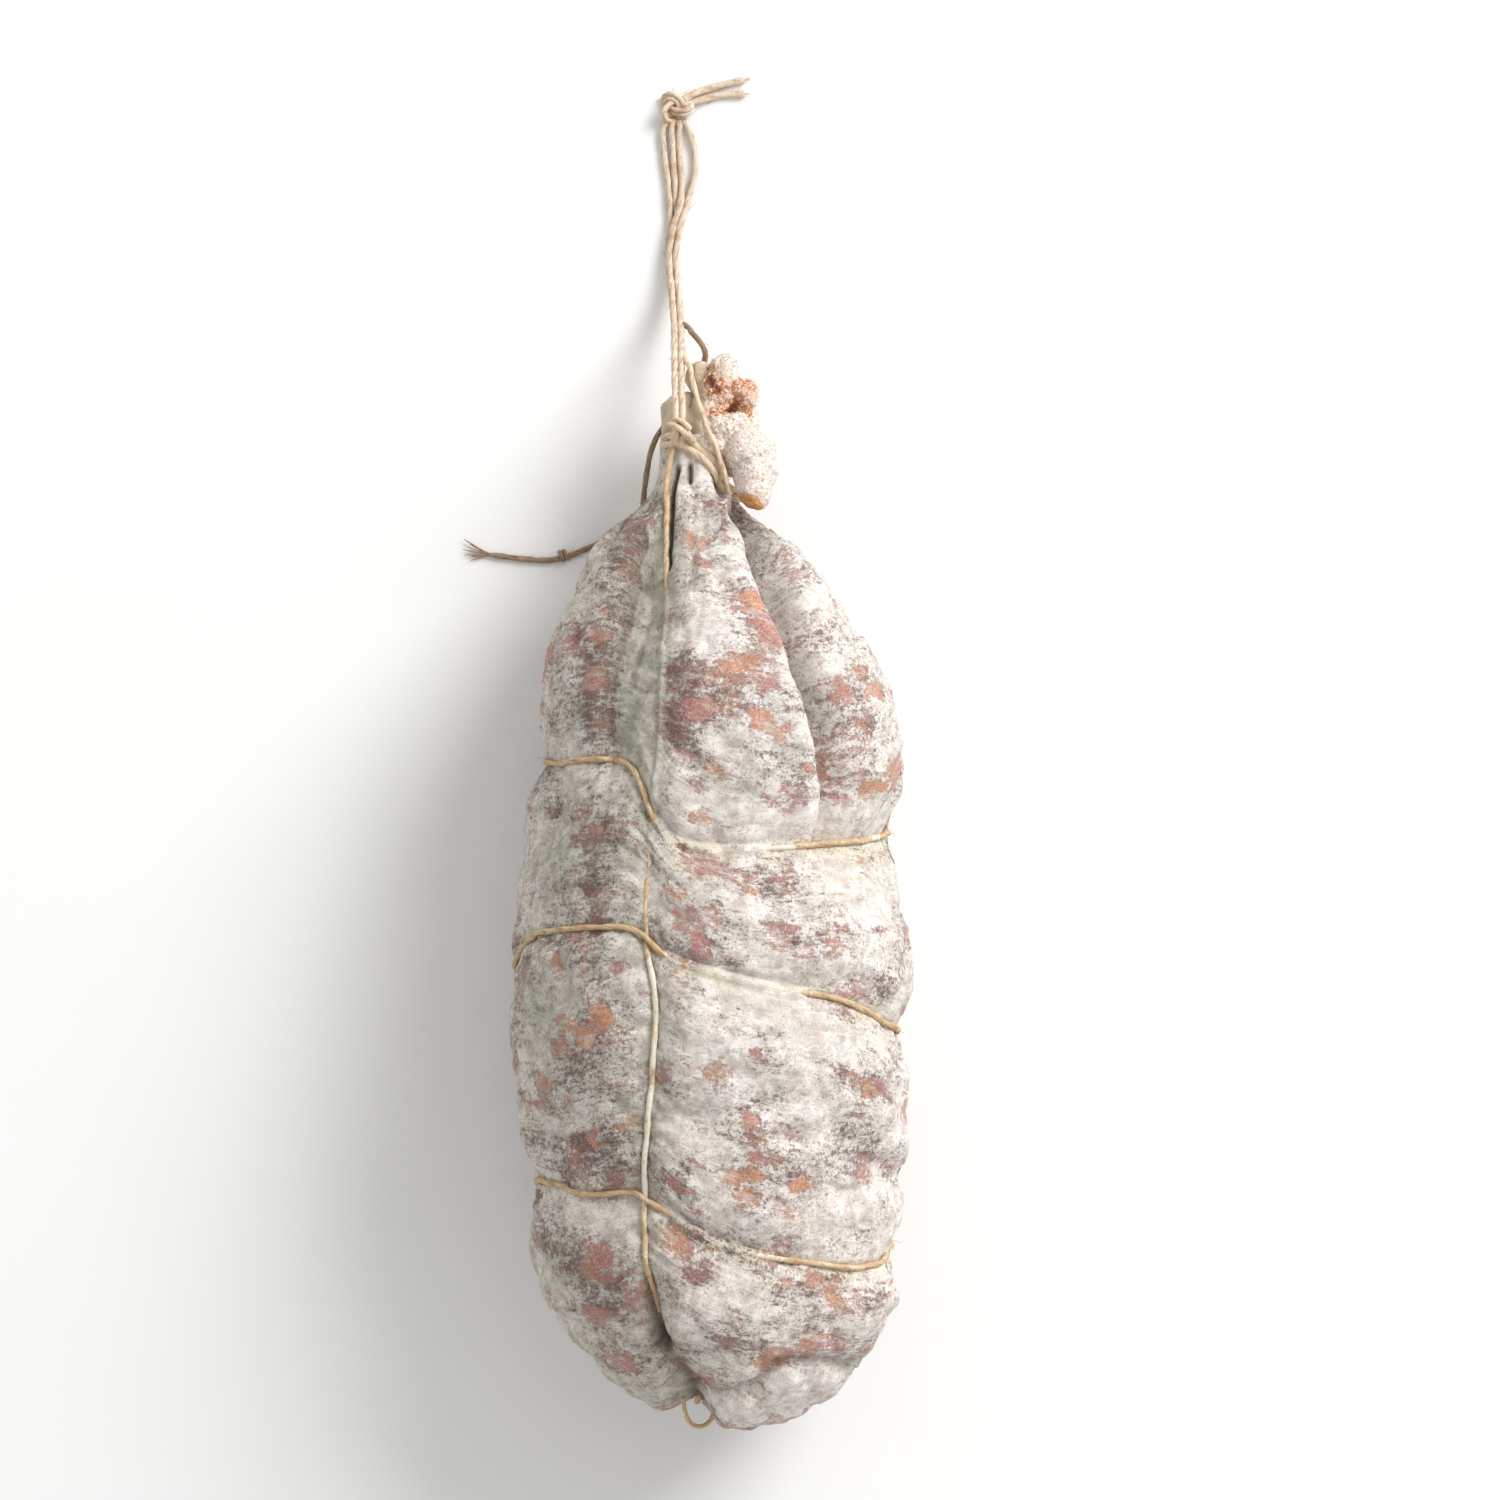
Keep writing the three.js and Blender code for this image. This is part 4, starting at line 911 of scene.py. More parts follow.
def patch_reach(places, x, y, length, width, turn):
    """Distance from the middle of an oval on the top side, 1 at its edge."""
    dx, dy = places[:, 0] - x, places[:, 1] - y
    c, s = math.cos(math.radians(turn)), math.sin(math.radians(turn))
    return np.hypot((dx * c + dy * s) / length, (dy * c - dx * s) / width)


def patch_heights(places, facing, rng):
    """Height and tone of each patch in turn: 1 inside, falling to 0 past its edge, with a ragged outline."""
    moved = places + 1.6 * np.stack([rough_noise(places, 5, seed) for seed in (31, 32, 33)], -1)
    on_top = ramp(facing, 0.0, 0.15)
    for *oval, shade in BARE_PATCHES:
        yield on_top * (1 - ramp(patch_reach(moved, *oval), 0.55, 1.5)), shade
    picks = rng.integers(0, len(places), SCATTERED_PATCHES)
    sizes = 1.2 + 3.0 * rng.random(SCATTERED_PATCHES) ** 2
    tones = rng.choice(SCATTERED_TONES, SCATTERED_PATCHES, p=SCATTERED_SHARES)
    for pick, size, shade in zip(picks, sizes, tones):
        strength = SCATTERED_STRENGTH if facing[pick] > 0.25 else 1.0
        reach = np.linalg.norm((moved - places[pick]) * SCATTERED_STRETCH, axis=1) / size
        yield strength * (1 - ramp(reach, 0.5, 1.5)), shade


def bare_field(places, facing, rng):
    """How bare the skin is and of what tone: the highest of all patches counts."""
    best = np.zeros(len(places))
    tone = np.full(len(places), 0.6)
    for height, shade in patch_heights(places, facing, rng):
        tone = np.where(height > best, shade, tone)
        best = np.maximum(best, height)
    return best, tone


def thin_field(places, facing):
    """Thinness of the mould on the top side: listed thin ovals add to it and thick ones take from it."""
    on_top = ramp(facing, -0.1, 0.3)
    total = np.zeros(len(places))
    for areas, sign in ((THIN_AREAS, 1), (THICK_AREAS, -1)):
        for *oval, strength in areas:
            total += sign * strength * hollow(patch_reach(places, *oval), 1)
    return total * on_top


def skin_masks(skin, places, normals_z, rng):
    """The casing's masks: (bare, tone, thin mould, partly painted shade) and (grey-green mould, partly painted
    shade; cream; painted shade with some grime).

    Each is a sum of bell curves and ramps of the distances to twine and folds, and of slow noise.
    """
    bare, tone = bare_field(places, normals_z, rng)
    # The left side gets greyer-green, thinner mould: partly its own mould colour, partly painted shade on the
    # side away from the lamp
    left = ramp(-skin.degrees, 8, 52) * (skin.degrees < 0)
    slow = rough_noise(skin.flow * np.array([0.5, 1, 0.5]), 12, 41, 3, 0.55)
    thin_mould_and_shade = 0.45 + 0.55 * slow + 0.1 * left + thin_field(places, normals_z)
    right_of_strand = (skin.degrees > values_at(FRONT_AT_HEIGHT, skin.y)).astype(float)
    near_strand = hollow(skin.front_back, blend(9, 5, right_of_strand * ramp(skin.y, 14, 26)))
    band = ramp(skin.y, 20, 34) * hollow(skin.degrees + 29, 10) * (1 - ramp(skin.y, 84, 96))
    band = band * (1 - right_of_strand * ramp(skin.front_back, 1, 4))
    thin_mould_and_shade = np.clip(thin_mould_and_shade * (1 - 0.55 * band) * (1 - 0.25 * near_strand), -0.3, 1.4)
    grey_green_and_shade = 0.18 + 0.42 * left + 0.5 * near_strand + 0.75 * band + 0.35 * noise(places, 22, 42)
    grey_green_and_shade = grey_green_and_shade + 0.18 * ramp(skin.y, 76, 88) - 0.26 * ramp(skin.y, 94, 101)
    cream = np.zeros(len(skin.y))
    for k, gap in enumerate(skin.rings):
        right = ramp(skin.degrees, -22, -8)
        broken = np.clip(0.6 + 0.9 * noise(places, 8, 45 + k), 0, 1)
        cream += broken * right * (0.95 * hollow(gap + 0.6, 1.7) + 0.5 * hollow(gap + 4, 6))
    cream += 0.25 * noise(places, 9, 43)
    under_tie = ramp(skin.y, 95, 101)
    cream += 0.35 * under_tie * (0.7 + 0.5 * noise(places, 4, 47))
    bare_neck = 0.5 * under_tie * ramp(rough_noise(places, 3.5, 48), 0.1, 0.6)
    # Painted shade in the valley to the right of the right fold: darker, thinner and greener mould along its
    # shaded flank
    beyond = (skin.side_of_fold(FOLDS["right_fold"][0]) > 0) * ramp(skin.y, 12, 30)
    fold = skin.folds["right_fold"]
    shade_and_grime = (0.75 * hollow(fold - 0.5, 2.2) + 0.3 * hollow(fold - 3, 6)) * beyond
    shaded_flank = beyond * ramp(fold, 1, 3) * (1 - ramp(fold, 7, 15)) * ramp(skin.y, 30, 42)
    thin_mould_and_shade = blend(thin_mould_and_shade + 0.45 * beyond * hollow(fold - 4, 5), 0.35, 0.7 * shaded_flank)
    grey_green_and_shade = grey_green_and_shade + 0.2 * shaded_flank
    shade_and_grime += 0.3 * shaded_flank
    # Painted shade, with some grime, on the left side of the left fold
    before = skin.side_of_fold(FOLDS["left_fold"][0]) < 0
    thin_mould_and_shade = thin_mould_and_shade + 0.4 * before * hollow(skin.folds["left_fold"] - 3, 5)
    shade_and_grime += 0.4 * before * hollow(skin.folds["left_fold"] - 1, 4)
    thin_mould_and_shade = thin_mould_and_shade + 0.35 * ramp(skin.y, 84, 94) - 0.5 * under_tie
    # Painted shade in the neck slits, the low crease, the cleft, along the left fold and in the creases beside
    # buried rings
    for name in ("neck_slit_left", "neck_slit_middle", "neck_slit_right"):
        shade_and_grime += 0.9 * hollow(skin.folds[name], 0.9)
    shade_and_grime += 0.45 * hollow(skin.folds["low_crease"], 1.2)
    shade_and_grime += 0.9 * ramp(-skin.y, 92, 110) * hollow(skin.folds["cleft"], 2.2)
    shade_and_grime += 0.3 * hollow(skin.folds["left_fold"], 1.6)
    for k, gap in enumerate(skin.rings):
        crease = ring_buried(k, skin.degrees) * hollow(gap - 1.9, 0.7)
        shade_and_grime += 0.7 * crease * np.clip(0.5 + noise(places, 6, 44), 0, 1)
    shade_and_grime += 0.9 * skin.at_low_end * hollow(skin.front_back, 2.4)
    bare = bare * (1 - 0.9 * band) * (1 - 0.85 * shaded_flank) * (1 - 0.8 * ramp(skin.y, 88, 94))
    bare = bare * (1 - 0.65 * ramp(skin.y, 64, 74) * ramp(-skin.degrees, 26, 34)) + bare_neck
    meat = np.stack([bare, tone, thin_mould_and_shade], -1)
    bloom_and_shade = np.stack([np.clip(grey_green_and_shade, 0, 1), np.clip(cream, 0, 1), np.clip(shade_and_grime, 0, 1)], -1)
    return meat, bloom_and_shade


# Grid of the casing: rows in each stretch between the neck, the three rings and the lower end
SKIN_ROWS = (104, 50, 80, 86)
SKIN_COLUMNS = 300
FRONT_CROWDING = 0.45


def row_heights(section, share, degrees):
    """y of a row: a share of the way from one ring line to the next, slowing towards the lower end."""
    ring = [values_at(line, turned(degrees)) for line in RING_LINES]
    if section == 0:
        return blend(NECK_END, ring[0], share)
    if section < 3:
        return blend(ring[section - 1], ring[section], share)
    return LOW_END + (ring[2] - LOW_END) * (1 - math.sin(share * math.pi / 2))


def with_end_rows(values):
    """The grid's values, then the mean of its first row and the mean of its last."""
    return np.vstack([values, values[:SKIN_COLUMNS].mean(0), values[-SKIN_COLUMNS:].mean(0)])


def build_casing():
    """The skin on a grid: columns crowd towards the top side, rows follow the rings."""
    share = np.arange(SKIN_COLUMNS) / SKIN_COLUMNS * 2 * math.pi - math.pi
    degrees = np.degrees(share - FRONT_CROWDING * np.sin(share))
    rows = []
    for section, count in enumerate(SKIN_ROWS):
        start = 0 if section == 0 else 1
        rows += [row_heights(section, i / count, degrees) for i in range(start, count + 1)]
    rows = np.array(rows[:-1])
    all_degrees = np.broadcast_to(degrees, rows.shape).ravel()
    skin = Skin(all_degrees, rows.ravel())
    places = skin.surface()
    meat, bloom_and_shade = skin_masks(skin, places, skin.out[:, 2], np.random.default_rng(SEEDS["skin"]))
    masks = {"flow": skin.flow * MM, "meat": meat, "bloom_and_shade": bloom_and_shade}
    masks = {name: with_end_rows(values) for name, values in masks.items()}
    places = with_end_rows(places)
    faces = pointing_out(places, closed_faces(len(rows), SKIN_COLUMNS))
    piece = add_mesh("casing", places, faces, masks, CASING)
    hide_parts("sausage")


# The gathered knob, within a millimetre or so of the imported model's: lumps (middle, radius) around one centre
KNOB_CENTRE = np.array([3, 113.5, 27])
KNOB_LUMPS = [
    ((3, 113.5, 27), 9.2), ((4, 127.6, 27.8), 3.3), ((9, 121.6, 30.5), 3.8), ((10.4, 107.2, 34.5), 6.2),
    ((11.2, 98, 38.2), 4.1), ((3, 122.5, 28), 5.8), ((-5.6, 118, 23.5), 5), ((-2, 126, 25), 3.6),
    ((6, 116, 19), 6), ((-5.4, 113, 25), 6.2), ((7, 106.4, 28), 4.6), ((11.4, 102.4, 36.3), 5.1),
]
KNOB_BLEND = 9
# The dark slit in its front: two arms that droop to the sides
KNOB_SLIT = {"middle": (6.4, 119.4), "half_width": 3.2, "half_height": 1.15, "droop": 0.4, "depth": 3.8}
# Spots of its surface: middle and reach of the amber ones and of the rusty ones, seen from the front
AMBER_TIP = ((10, 94, 40.6), 4.0)
AMBER_BUMP = ((11.4, 122.2, 33.4), 4.0)
AMBER_TOP = ((3.4, 130, 29), 3.4)
RUSTY_LEFT = ((0.6, 124.6), 6.0)
RUSTY_RIGHT = ((8.6, 123.0), 4.0)


def knob_radius(direction):
    """Distance at which a ray from the centre leaves the lumps, blended by a power mean."""
    total = np.zeros(len(direction))
    for middle, radius in KNOB_LUMPS:
        to = np.array(middle) - KNOB_CENTRE
        ahead = direction @ to
        inside = radius**2 - to @ to + ahead**2
        leaves = np.where(inside > 0, ahead + np.sqrt(np.clip(inside, 0, None)), 0)
        total += np.clip(leaves, 0, None) ** KNOB_BLEND
    return total ** (1 / KNOB_BLEND)


def spot(places, middle, reach):
    """Bell curve of the distance to a spot's middle, over as many axes as the middle has."""
    return hollow(np.linalg.norm(places[:, :len(middle)] - np.array(middle), axis=1), reach)


def slit_reach(base):
    """Distance from the slit's line in half widths and heights, wobbled, and large on the knob's back."""
    beside = base[:, 0] - KNOB_SLIT["middle"][0] + 0.7 * noise(base, 2.4, 57)
    arms = KNOB_SLIT["middle"][1] - KNOB_SLIT["droop"] * np.abs(beside)
    above = base[:, 1] - arms + 0.7 * noise(base, 2.2, 60)
    reach = np.hypot(beside / KNOB_SLIT["half_width"], above / KNOB_SLIT["half_height"])
    return reach + 9 * (1 - ramp(base[:, 2], 26, 30))


def knob_surface(direction):
    """Places and masks of the crusted knob: radius plus grains in three sizes, less the dark slit."""
    radius = knob_radius(direction)
    base = KNOB_CENTRE + direction * radius[:, None]
    smooth = ramp(-base[:, 0], -1.0, 3.0)
    warped = base + 0.9 * noise_vector(base, 2.8, (51, 52, 53))
    coarse = pebbles(warped, 4.4, 54)
    middle = pebbles(warped, 2.1, 55)
    fine = pebbles(base, 1.0, 56)
    rugged = blend(0.55, 1.25, ramp(base[:, 1], 110, 120))
    crust = rugged * (1.5 * coarse + 0.9 * middle - 1.4) + 0.5 * fine
    crust = crust * (1 - 0.9 * smooth)
    off_slit = slit_reach(base)
    cave = hollow(off_slit, 1)
    creases = 1.1 * noise(base * np.array([1, 0.25, 1]), 2.4, 58) * smooth
    radius = radius + crust + creases - KNOB_SLIT["depth"] * cave + 0.8 * noise(base, 5, 59)
    bump = spot(base, *AMBER_BUMP)
    low_places = np.clip(1.1 - (0.8 * coarse + 0.5 * middle + 0.25 * fine), 0, 1)
    rusty = np.maximum(spot(base, *RUSTY_LEFT), 0.9 * spot(base, *RUSTY_RIGHT))
    rim = hollow(off_slit - 1.5, 0.6)
    # The crevice mask: rust in low places and around the slit, and painted shade in the slit itself
    crevice = low_places * blend(0.3, 1.2, rusty) + 0.62 * rusty + 0.3 * rim + 1.3 * cave
    amber = 1.15 * spot(base, *AMBER_TIP) + 0.85 * bump + 0.35 * spot(base, *AMBER_TOP) - 0.5 * middle * bump
    masks = np.stack([np.clip(crevice, 0, 1), np.clip(amber, 0, 1), smooth], -1)
    return KNOB_CENTRE + direction * radius[:, None], masks


KNOB_GRID = (200, 300)
GRAIN_COUNT = 1700
GRAIN_SIZES = (0.12, 0.34)


def build_knob():
    """The crusted knob on a globe of directions, and loose grains of salt sitting on it."""
    rows, columns = KNOB_GRID
    tilt = np.linspace(0, math.pi, rows + 2)[1:-1]
    turn = np.arange(columns) / columns * 2 * math.pi
    tilt, turn = [a.ravel() for a in np.meshgrid(tilt, turn, indexing="ij")]
    direction = np.stack([np.sin(tilt) * np.sin(turn), np.cos(tilt), np.sin(tilt) * np.cos(turn)], -1)
    direction = np.vstack([direction, [0, 1, 0], [0, -1, 0]])
    places, masks = knob_surface(direction)
    faces = pointing_out(places, closed_faces(rows, columns))
    piece = add_mesh("knob", places, faces, {"crust": masks}, KNOB)
    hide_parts("sausage")
    crevice, amber, smooth = masks[:-2].T
    open_crust = (smooth < 0.3) & (crevice < 0.6) & (amber < 0.45) & (places[:-2, 1] > 100)
    rng = np.random.default_rng(SEEDS["grains"])
    picks = rng.choice(np.flatnonzero(open_crust), GRAIN_COUNT, replace=False)
    add_grains(places[picks], direction[picks], rng)


def add_grains(places, directions, rng):
    """Small squashed eight-sided grains, half sunk, each turned and sized by chance."""
    corners = np.array([(1, 0, 0), (-1, 0, 0), (0, 1, 0), (0, -1, 0), (0, 0, 1), (0, 0, -1)], float)
    sides = [(0, 2, 4), (2, 1, 4), (1, 3, 4), (3, 0, 4), (2, 0, 5), (1, 2, 5), (3, 1, 5), (0, 3, 5)]
    count = len(places)
    turns, _ = np.linalg.qr(rng.normal(size=(count, 3, 3)))
    sizes = rng.uniform(*GRAIN_SIZES, count)[:, None, None] * rng.uniform(0.6, 1.3, (count, 1, 3))
    shapes = np.einsum("cij,ckj->cki", turns, corners[None] * sizes)
    all_places = ((places + directions * 0.08)[:, None] + shapes).reshape(-1, 3)
    all_faces = np.array(sides)[None] + 6 * np.arange(count)[:, None, None]
    handed = np.linalg.det(turns) < 0
    all_faces[handed] = all_faces[handed][:, :, ::-1]
    add_mesh("knob_grains", all_places, all_faces.reshape(-1, 3).tolist(), {}, GRAINS)


# Twine

PLY_PITCH = 7.5
PLY_SIDES = 12
# Twine that lies on the table ends this far above it
LEAST_HEIGHT = 0.05
# Scale of the fibre pattern's coordinates along and around the twine
LAY_SCALE = 2.2 * MM


def frames_along(path):
    """Two directions across the path that turn as little as possible, carried from point to point."""
    tangent = np.gradient(path, axis=0)
    tangent /= np.linalg.norm(tangent, axis=1, keepdims=True)
    start = np.cross(tangent[0], [0, 0, 1.0])
    if np.linalg.norm(start) < 0.1:
        start = np.cross(tangent[0], [1.0, 0, 0])
    side = start / np.linalg.norm(start)
    sides = [side]
    for t in tangent[1:]:
        side = side - t * (side @ t)
        side = side / np.linalg.norm(side)
        sides.append(side)
    sides = np.array(sides)
    return sides, np.cross(tangent, sides)


def rings_around(path, sides):
    """Angles of the sides, and at each point of the path their directions across it."""
    side, up = frames_along(path)
    angle = np.arange(sides) / sides * 2 * math.pi
    return angle, side[:, None] * np.cos(angle)[:, None] + up[:, None] * np.sin(angle)[:, None]


def twine_arrays(path, diameter=TWINE, thin_ends=0.0):
    """Two twisted plies as one skin: radius R * (0.86 + 0.14 |cos(angle - turn along)|) around the path."""
    angle, ring = rings_around(path, PLY_SIDES)
    run = np.concatenate([[0], np.cumsum(np.linalg.norm(np.diff(path, axis=0), axis=1))])[:, None]
    twist = angle - math.pi * run / PLY_PITCH
    lobes = np.abs(np.cos(twist))
    uneven = 1 + 0.07 * np.sin(run * 1.9 + 0.7) * np.sin(run * 0.73)
    radius = diameter / 2 * (0.86 + 0.14 * lobes) * uneven
    if thin_ends:
        radius = radius * blend(1 - thin_ends, 1.0, ramp(run[-1] - run, 0, 2.5))
    places = (path[:, None] + ring * radius[..., None]).reshape(-1, 3)
    places = np.vstack([places, path[0], path[-1]])
    along = np.broadcast_to(run * 0.12, lobes.shape)
    lay = np.stack([along * LAY_SCALE, 0.75 * np.sin(twist) * diameter * LAY_SCALE, lobes], -1).reshape(-1, 3)
    return places, pointing_out(places, closed_faces(len(path), PLY_SIDES)), np.vstack([lay, lay[0], lay[-1]])


def join_arrays(parts):
    """Several (places, faces, lay) sets as one."""
    places, faces, lay, start = [], [], [], 0
    for p, f, l in parts:
        places.append(p)
        faces += [[i + start for i in face] for face in f]
        lay.append(l)
        start += len(p)
    return np.vstack(places), faces, np.vstack(lay)


def add_twine(name, parts, nodes, material=HELD_TWINE, dust=0.0):
    """One piece of twine from joined parts; dust is a number or a function of the places."""
    places, faces, lay = join_arrays(parts)
    places[:, 2] = np.maximum(places[:, 2], LEAST_HEIGHT)
    share = dust(places) if callable(dust) else np.full(len(places), float(dust))
    piece = add_mesh(name, places, faces, {"lay": lay, "dust": share}, material)
    if nodes:
        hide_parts(*nodes)
    return piece


# Loose fibres: least and greatest length, thickness and how far they lift off the twine
FIBRE_LENGTH = (2.0, 6.0)
FIBRE_RADIUS = 0.045
FIBRE_LIFT = 0.18


def fibres_at(path, count, rng):
    """Loose fibres: thin three-sided threads that leave the path sideways and curl back."""
    parts = []
    side, up = frames_along(path)
    for pick in rng.integers(1, len(path) - 2, count):
        turn = rng.random() * 2 * math.pi
        out = side[pick] * math.cos(turn) + up[pick] * math.sin(turn)
        ahead = (path[pick + 1] - path[pick - 1]) * rng.choice([-1, 1])
        ahead = ahead / np.linalg.norm(ahead)
        reach = rng.uniform(*FIBRE_LENGTH)
        t = np.linspace(0, 1, 6)[:, None]
        curl = np.cross(out, ahead) * rng.uniform(-0.5, 0.5)
        lifted = out * (TWINE * 0.42 + FIBRE_LIFT * t * (1.4 - t) * reach)
        line = path[pick] + lifted + ahead * reach * t * 0.9 + curl * reach * t**2
        line[:, 2] = np.maximum(line[:, 2], 0.12)
        _, ring = rings_around(line, 3)
        places = (line[:, None] + ring * FIBRE_RADIUS).reshape(-1, 3)
        faces = grid_faces(len(line), 3).tolist() + [[2, 1, 0], [15, 16, 17]]
        parts.append((places, pointing_out(places, faces), np.full((len(places), 3), 0.6) * MM))
    return parts


def crossing_rise(points):
    """Rise of a ring where it passes over a lengthwise strand."""
    front_gap = distance_to_line(points, FRONT_TO_BACK_LINE)
    side_gap = distance_to_line(points, LEFT_TO_RIGHT_LINE)
    return CROSSING_RISE * hollow(np.minimum(front_gap, side_gap), 2.2)


# Height of the twine's middle over the skin's broad form, and its rise over a strand that it crosses
OPEN_HEIGHT = 0.28
BURIED_HEIGHT = -0.55
CROSSING_RISE = 1.1
PATH_STEP = 0.55
# A ring starts at this angle and leaves a small gap there, in degrees
RING_START = 148
RING_TURN = 358.6
RING_POINTS = 620


def ring_path(k):
    """Ring k over the skin: open twine lies on it, buried twine in it, and it rises over other strands."""
    degrees = turned(np.linspace(RING_START, RING_START - RING_TURN, RING_POINTS))
    y = values_at(RING_LINES[k], degrees)
    plain = plain_point(degrees, y)
    height = blend(OPEN_HEIGHT, BURIED_HEIGHT, ring_buried(k, degrees)) + crossing_rise(plain)
    return smooth_path(over_skin((degrees, y), height)[::2], PATH_STEP)


def ring_dust(places):
    """Mould on the rings: more from the front strand to the right, less at the right edge."""
    shift = 0.75 * ramp(places[:, 0], -14, 0) - 0.6 * ramp(places[:, 0], 12, 26)
    return np.clip(0.15 + shift + 0.5 * noise(places, 7, 61), 0, 1)


def build_rings():
    """The three rings, each from end to end of its turn around the body."""
    rng = np.random.default_rng(SEEDS["rings"])
    for k in range(3):
        path = ring_path(k)
        parts = [twine_arrays(path)] + fibres_at(path, 26, rng)
        add_twine(f"ring_twine_{k + 1}", parts, [f"twine_ring_{k + 1}"], dust=ring_dust)


def front_dust(places):
    """Mould on the front strand: between the upper two rings and below, and on its low back part."""
    shift = 0.45 * ramp(-places[:, 1], 8, 24) * (1 - ramp(-places[:, 1], 74, 84))
    shift += 0.5 * ramp(-places[:, 2], -30, -10) - 0.5 * ramp(places[:, 1], 76, 86)
    return np.clip(0.25 + shift + 0.4 * noise(places, 6, 62), 0, 1)


def side_dust(places):
    """Mould on the side strand, less beside the neck."""
    return np.clip(0.5 - 0.6 * ramp(places[:, 1], 80, 92) + 0.4 * noise(places, 6, 63), 0, 1)


def build_lengthwise():
    """The strand down the front and up the back, and the one that bows out beside the neck."""
    line = FRONT_TO_BACK_LINE
    degrees, y = stations_of(line)
    front = (np.abs(degrees) < 90).astype(float)
    buried = front * values_at(FRONT_BURIED, y)
    over_tie = 1.9 * ramp(y, 92, 98) * front
    crossing = 1.6 * hollow(distance_to_line(line, LEFT_TO_RIGHT_LINE), 3) * (y < -100)
    into_cleft = 0.5 * ramp(-y, 104, 114) * front
    height = blend(OPEN_HEIGHT, BURIED_HEIGHT, buried) + over_tie + crossing - into_cleft
    path = smooth_path(over_skin((degrees, y), height), PATH_STEP)
    rng = np.random.default_rng(SEEDS["lengthwise"])
    add_twine("lengthwise_twine_front", [twine_arrays(path)] + fibres_at(path, 40, rng),
              ["twine_front_and_back"], dust=front_dust)
    degrees, y = stations_of(LEFT_TO_RIGHT_LINE)
    laid = over_skin((degrees, y), np.full(len(y), OPEN_HEIGHT))
    path = smooth_path(np.vstack([np.array(BOW_BESIDE_NECK), laid[::2]]), PATH_STEP)
    add_twine("lengthwise_twine_side", [twine_arrays(path)] + fibres_at(path, 30, rng),
              ["twine_left_and_right"], material=TWINE_IN_SHADE, dust=side_dust)


# The tie's turns around the neck: slant, arch and height over the skin, sunk in on the left
TIE = {"turns": 2, "start": 170, "pitch": 1.9, "middle": 104.6, "rise": 2, "slant": 6.6, "arch": 1.7,
       "height": 0.9, "sunk": -0.9}
HITCH = {"start": (-8, 112.4, 40.4), "end": (-6.4, 114.2, 39.6), "radius": 2.5, "turns": 1.4}
SIDE_KNOT = {"start": (-37.6, 81.9, 1.6), "end": (-35.9, 82.4, 1.6), "radius": 1.15, "turns": 1.6}
# Half the gap between the two strands that run side by side in the end knot
KNOT_SPREAD = 0.62
STRAND_DIAMETER = 1.72
# Where the strands pass through the hitch and on into the neck's turns
HITCH_ROOTS = [
    [(-9, 109, 36), (-8.5, 111.4, 38.4), (-8, 113.8, 39.6)],
    [(-7, 108.6, 36.6), (-6.6, 111.4, 38.6), (-6.3, 113.8, 39.6)],
    [(-7.8, 109.4, 37.6), (-8, 111.6, 40), (-8, 113.8, 41.4)],
    [(-3.6, 110.2, 37.4), (-5, 112, 39.6), (-6.3, 113.8, 41.4)],
]


def tie_path():
    """The turns of the tie over the skin: they slant, arch over the front and sink in on the left."""
    share = np.linspace(0, TIE["turns"], 64)
    degrees = TIE["start"] + 360 * share
    turn = np.radians(degrees)
    along = TIE["middle"] + TIE["pitch"] * (share - TIE["turns"] / 2)
    y = along + TIE["rise"] * np.cos(turn) - TIE["slant"] * np.sin(turn) + TIE["arch"] * np.cos(2 * turn)
    left = hollow(turned(degrees + 95), 48)
    return smooth_path(over_skin((degrees, y), blend(TIE["height"], TIE["sunk"], left)), 0.5)


def build_neck():
    """The twine at the neck and behind the knob, and the loose bit at the lower end."""
    rng = np.random.default_rng(SEEDS["neck"])
    path = tie_path()
    add_twine("neck_tie_twine", [twine_arrays(path, diameter=2.0)] + fibres_at(path, 30, rng), ["neck_tie"],
              material=TIE_TWINE, dust=0.2)
    path = knot_path(**HITCH)
    roots = [twine_arrays(smooth_path(route, 0.5), diameter=STRAND_DIAMETER) for route in HITCH_ROOTS]
    add_twine("neck_hitch_twine", [twine_arrays(path)] + roots + fibres_at(path, 10, rng), ["neck_hitch"],
              material=TIE_TWINE, dust=0.1)
    for name, route, diameter, material, dust in (("neck_strand", NECK_STRAND, 1.4, TIE_TWINE, 0.2),
                                                  ("neck_loop", NECK_LOOP, TWINE, TWINE_IN_SHADE, 0.0)):
        path = smooth_path(route, 0.5)
        add_twine(f"{name}_twine", [twine_arrays(path, diameter)] + fibres_at(path, 6, rng), [name],
                  material, dust)
    add_twine("low_loop_twine", [twine_arrays(smooth_path(LOW_LOOP, 0.4), diameter=1.2)], ["low_loop"])


def knot_path(start, end, radius, turns):
    """Helix of a knot's turns around the line from start to end."""
    a, b = np.array(start, float), np.array(end, float)
    axis = (b - a) / np.linalg.norm(b - a)
    side = np.cross([0, 0, 1.0], axis)
    side /= np.linalg.norm(side)
    up = np.cross(axis, side)
    t = np.linspace(0, 1, int(turns * 14))[:, None]
    turn = 2 * math.pi * turns * t
    return smooth_path(a + (b - a) * t + radius * (side * np.cos(turn) + up * np.sin(turn)), 0.5)


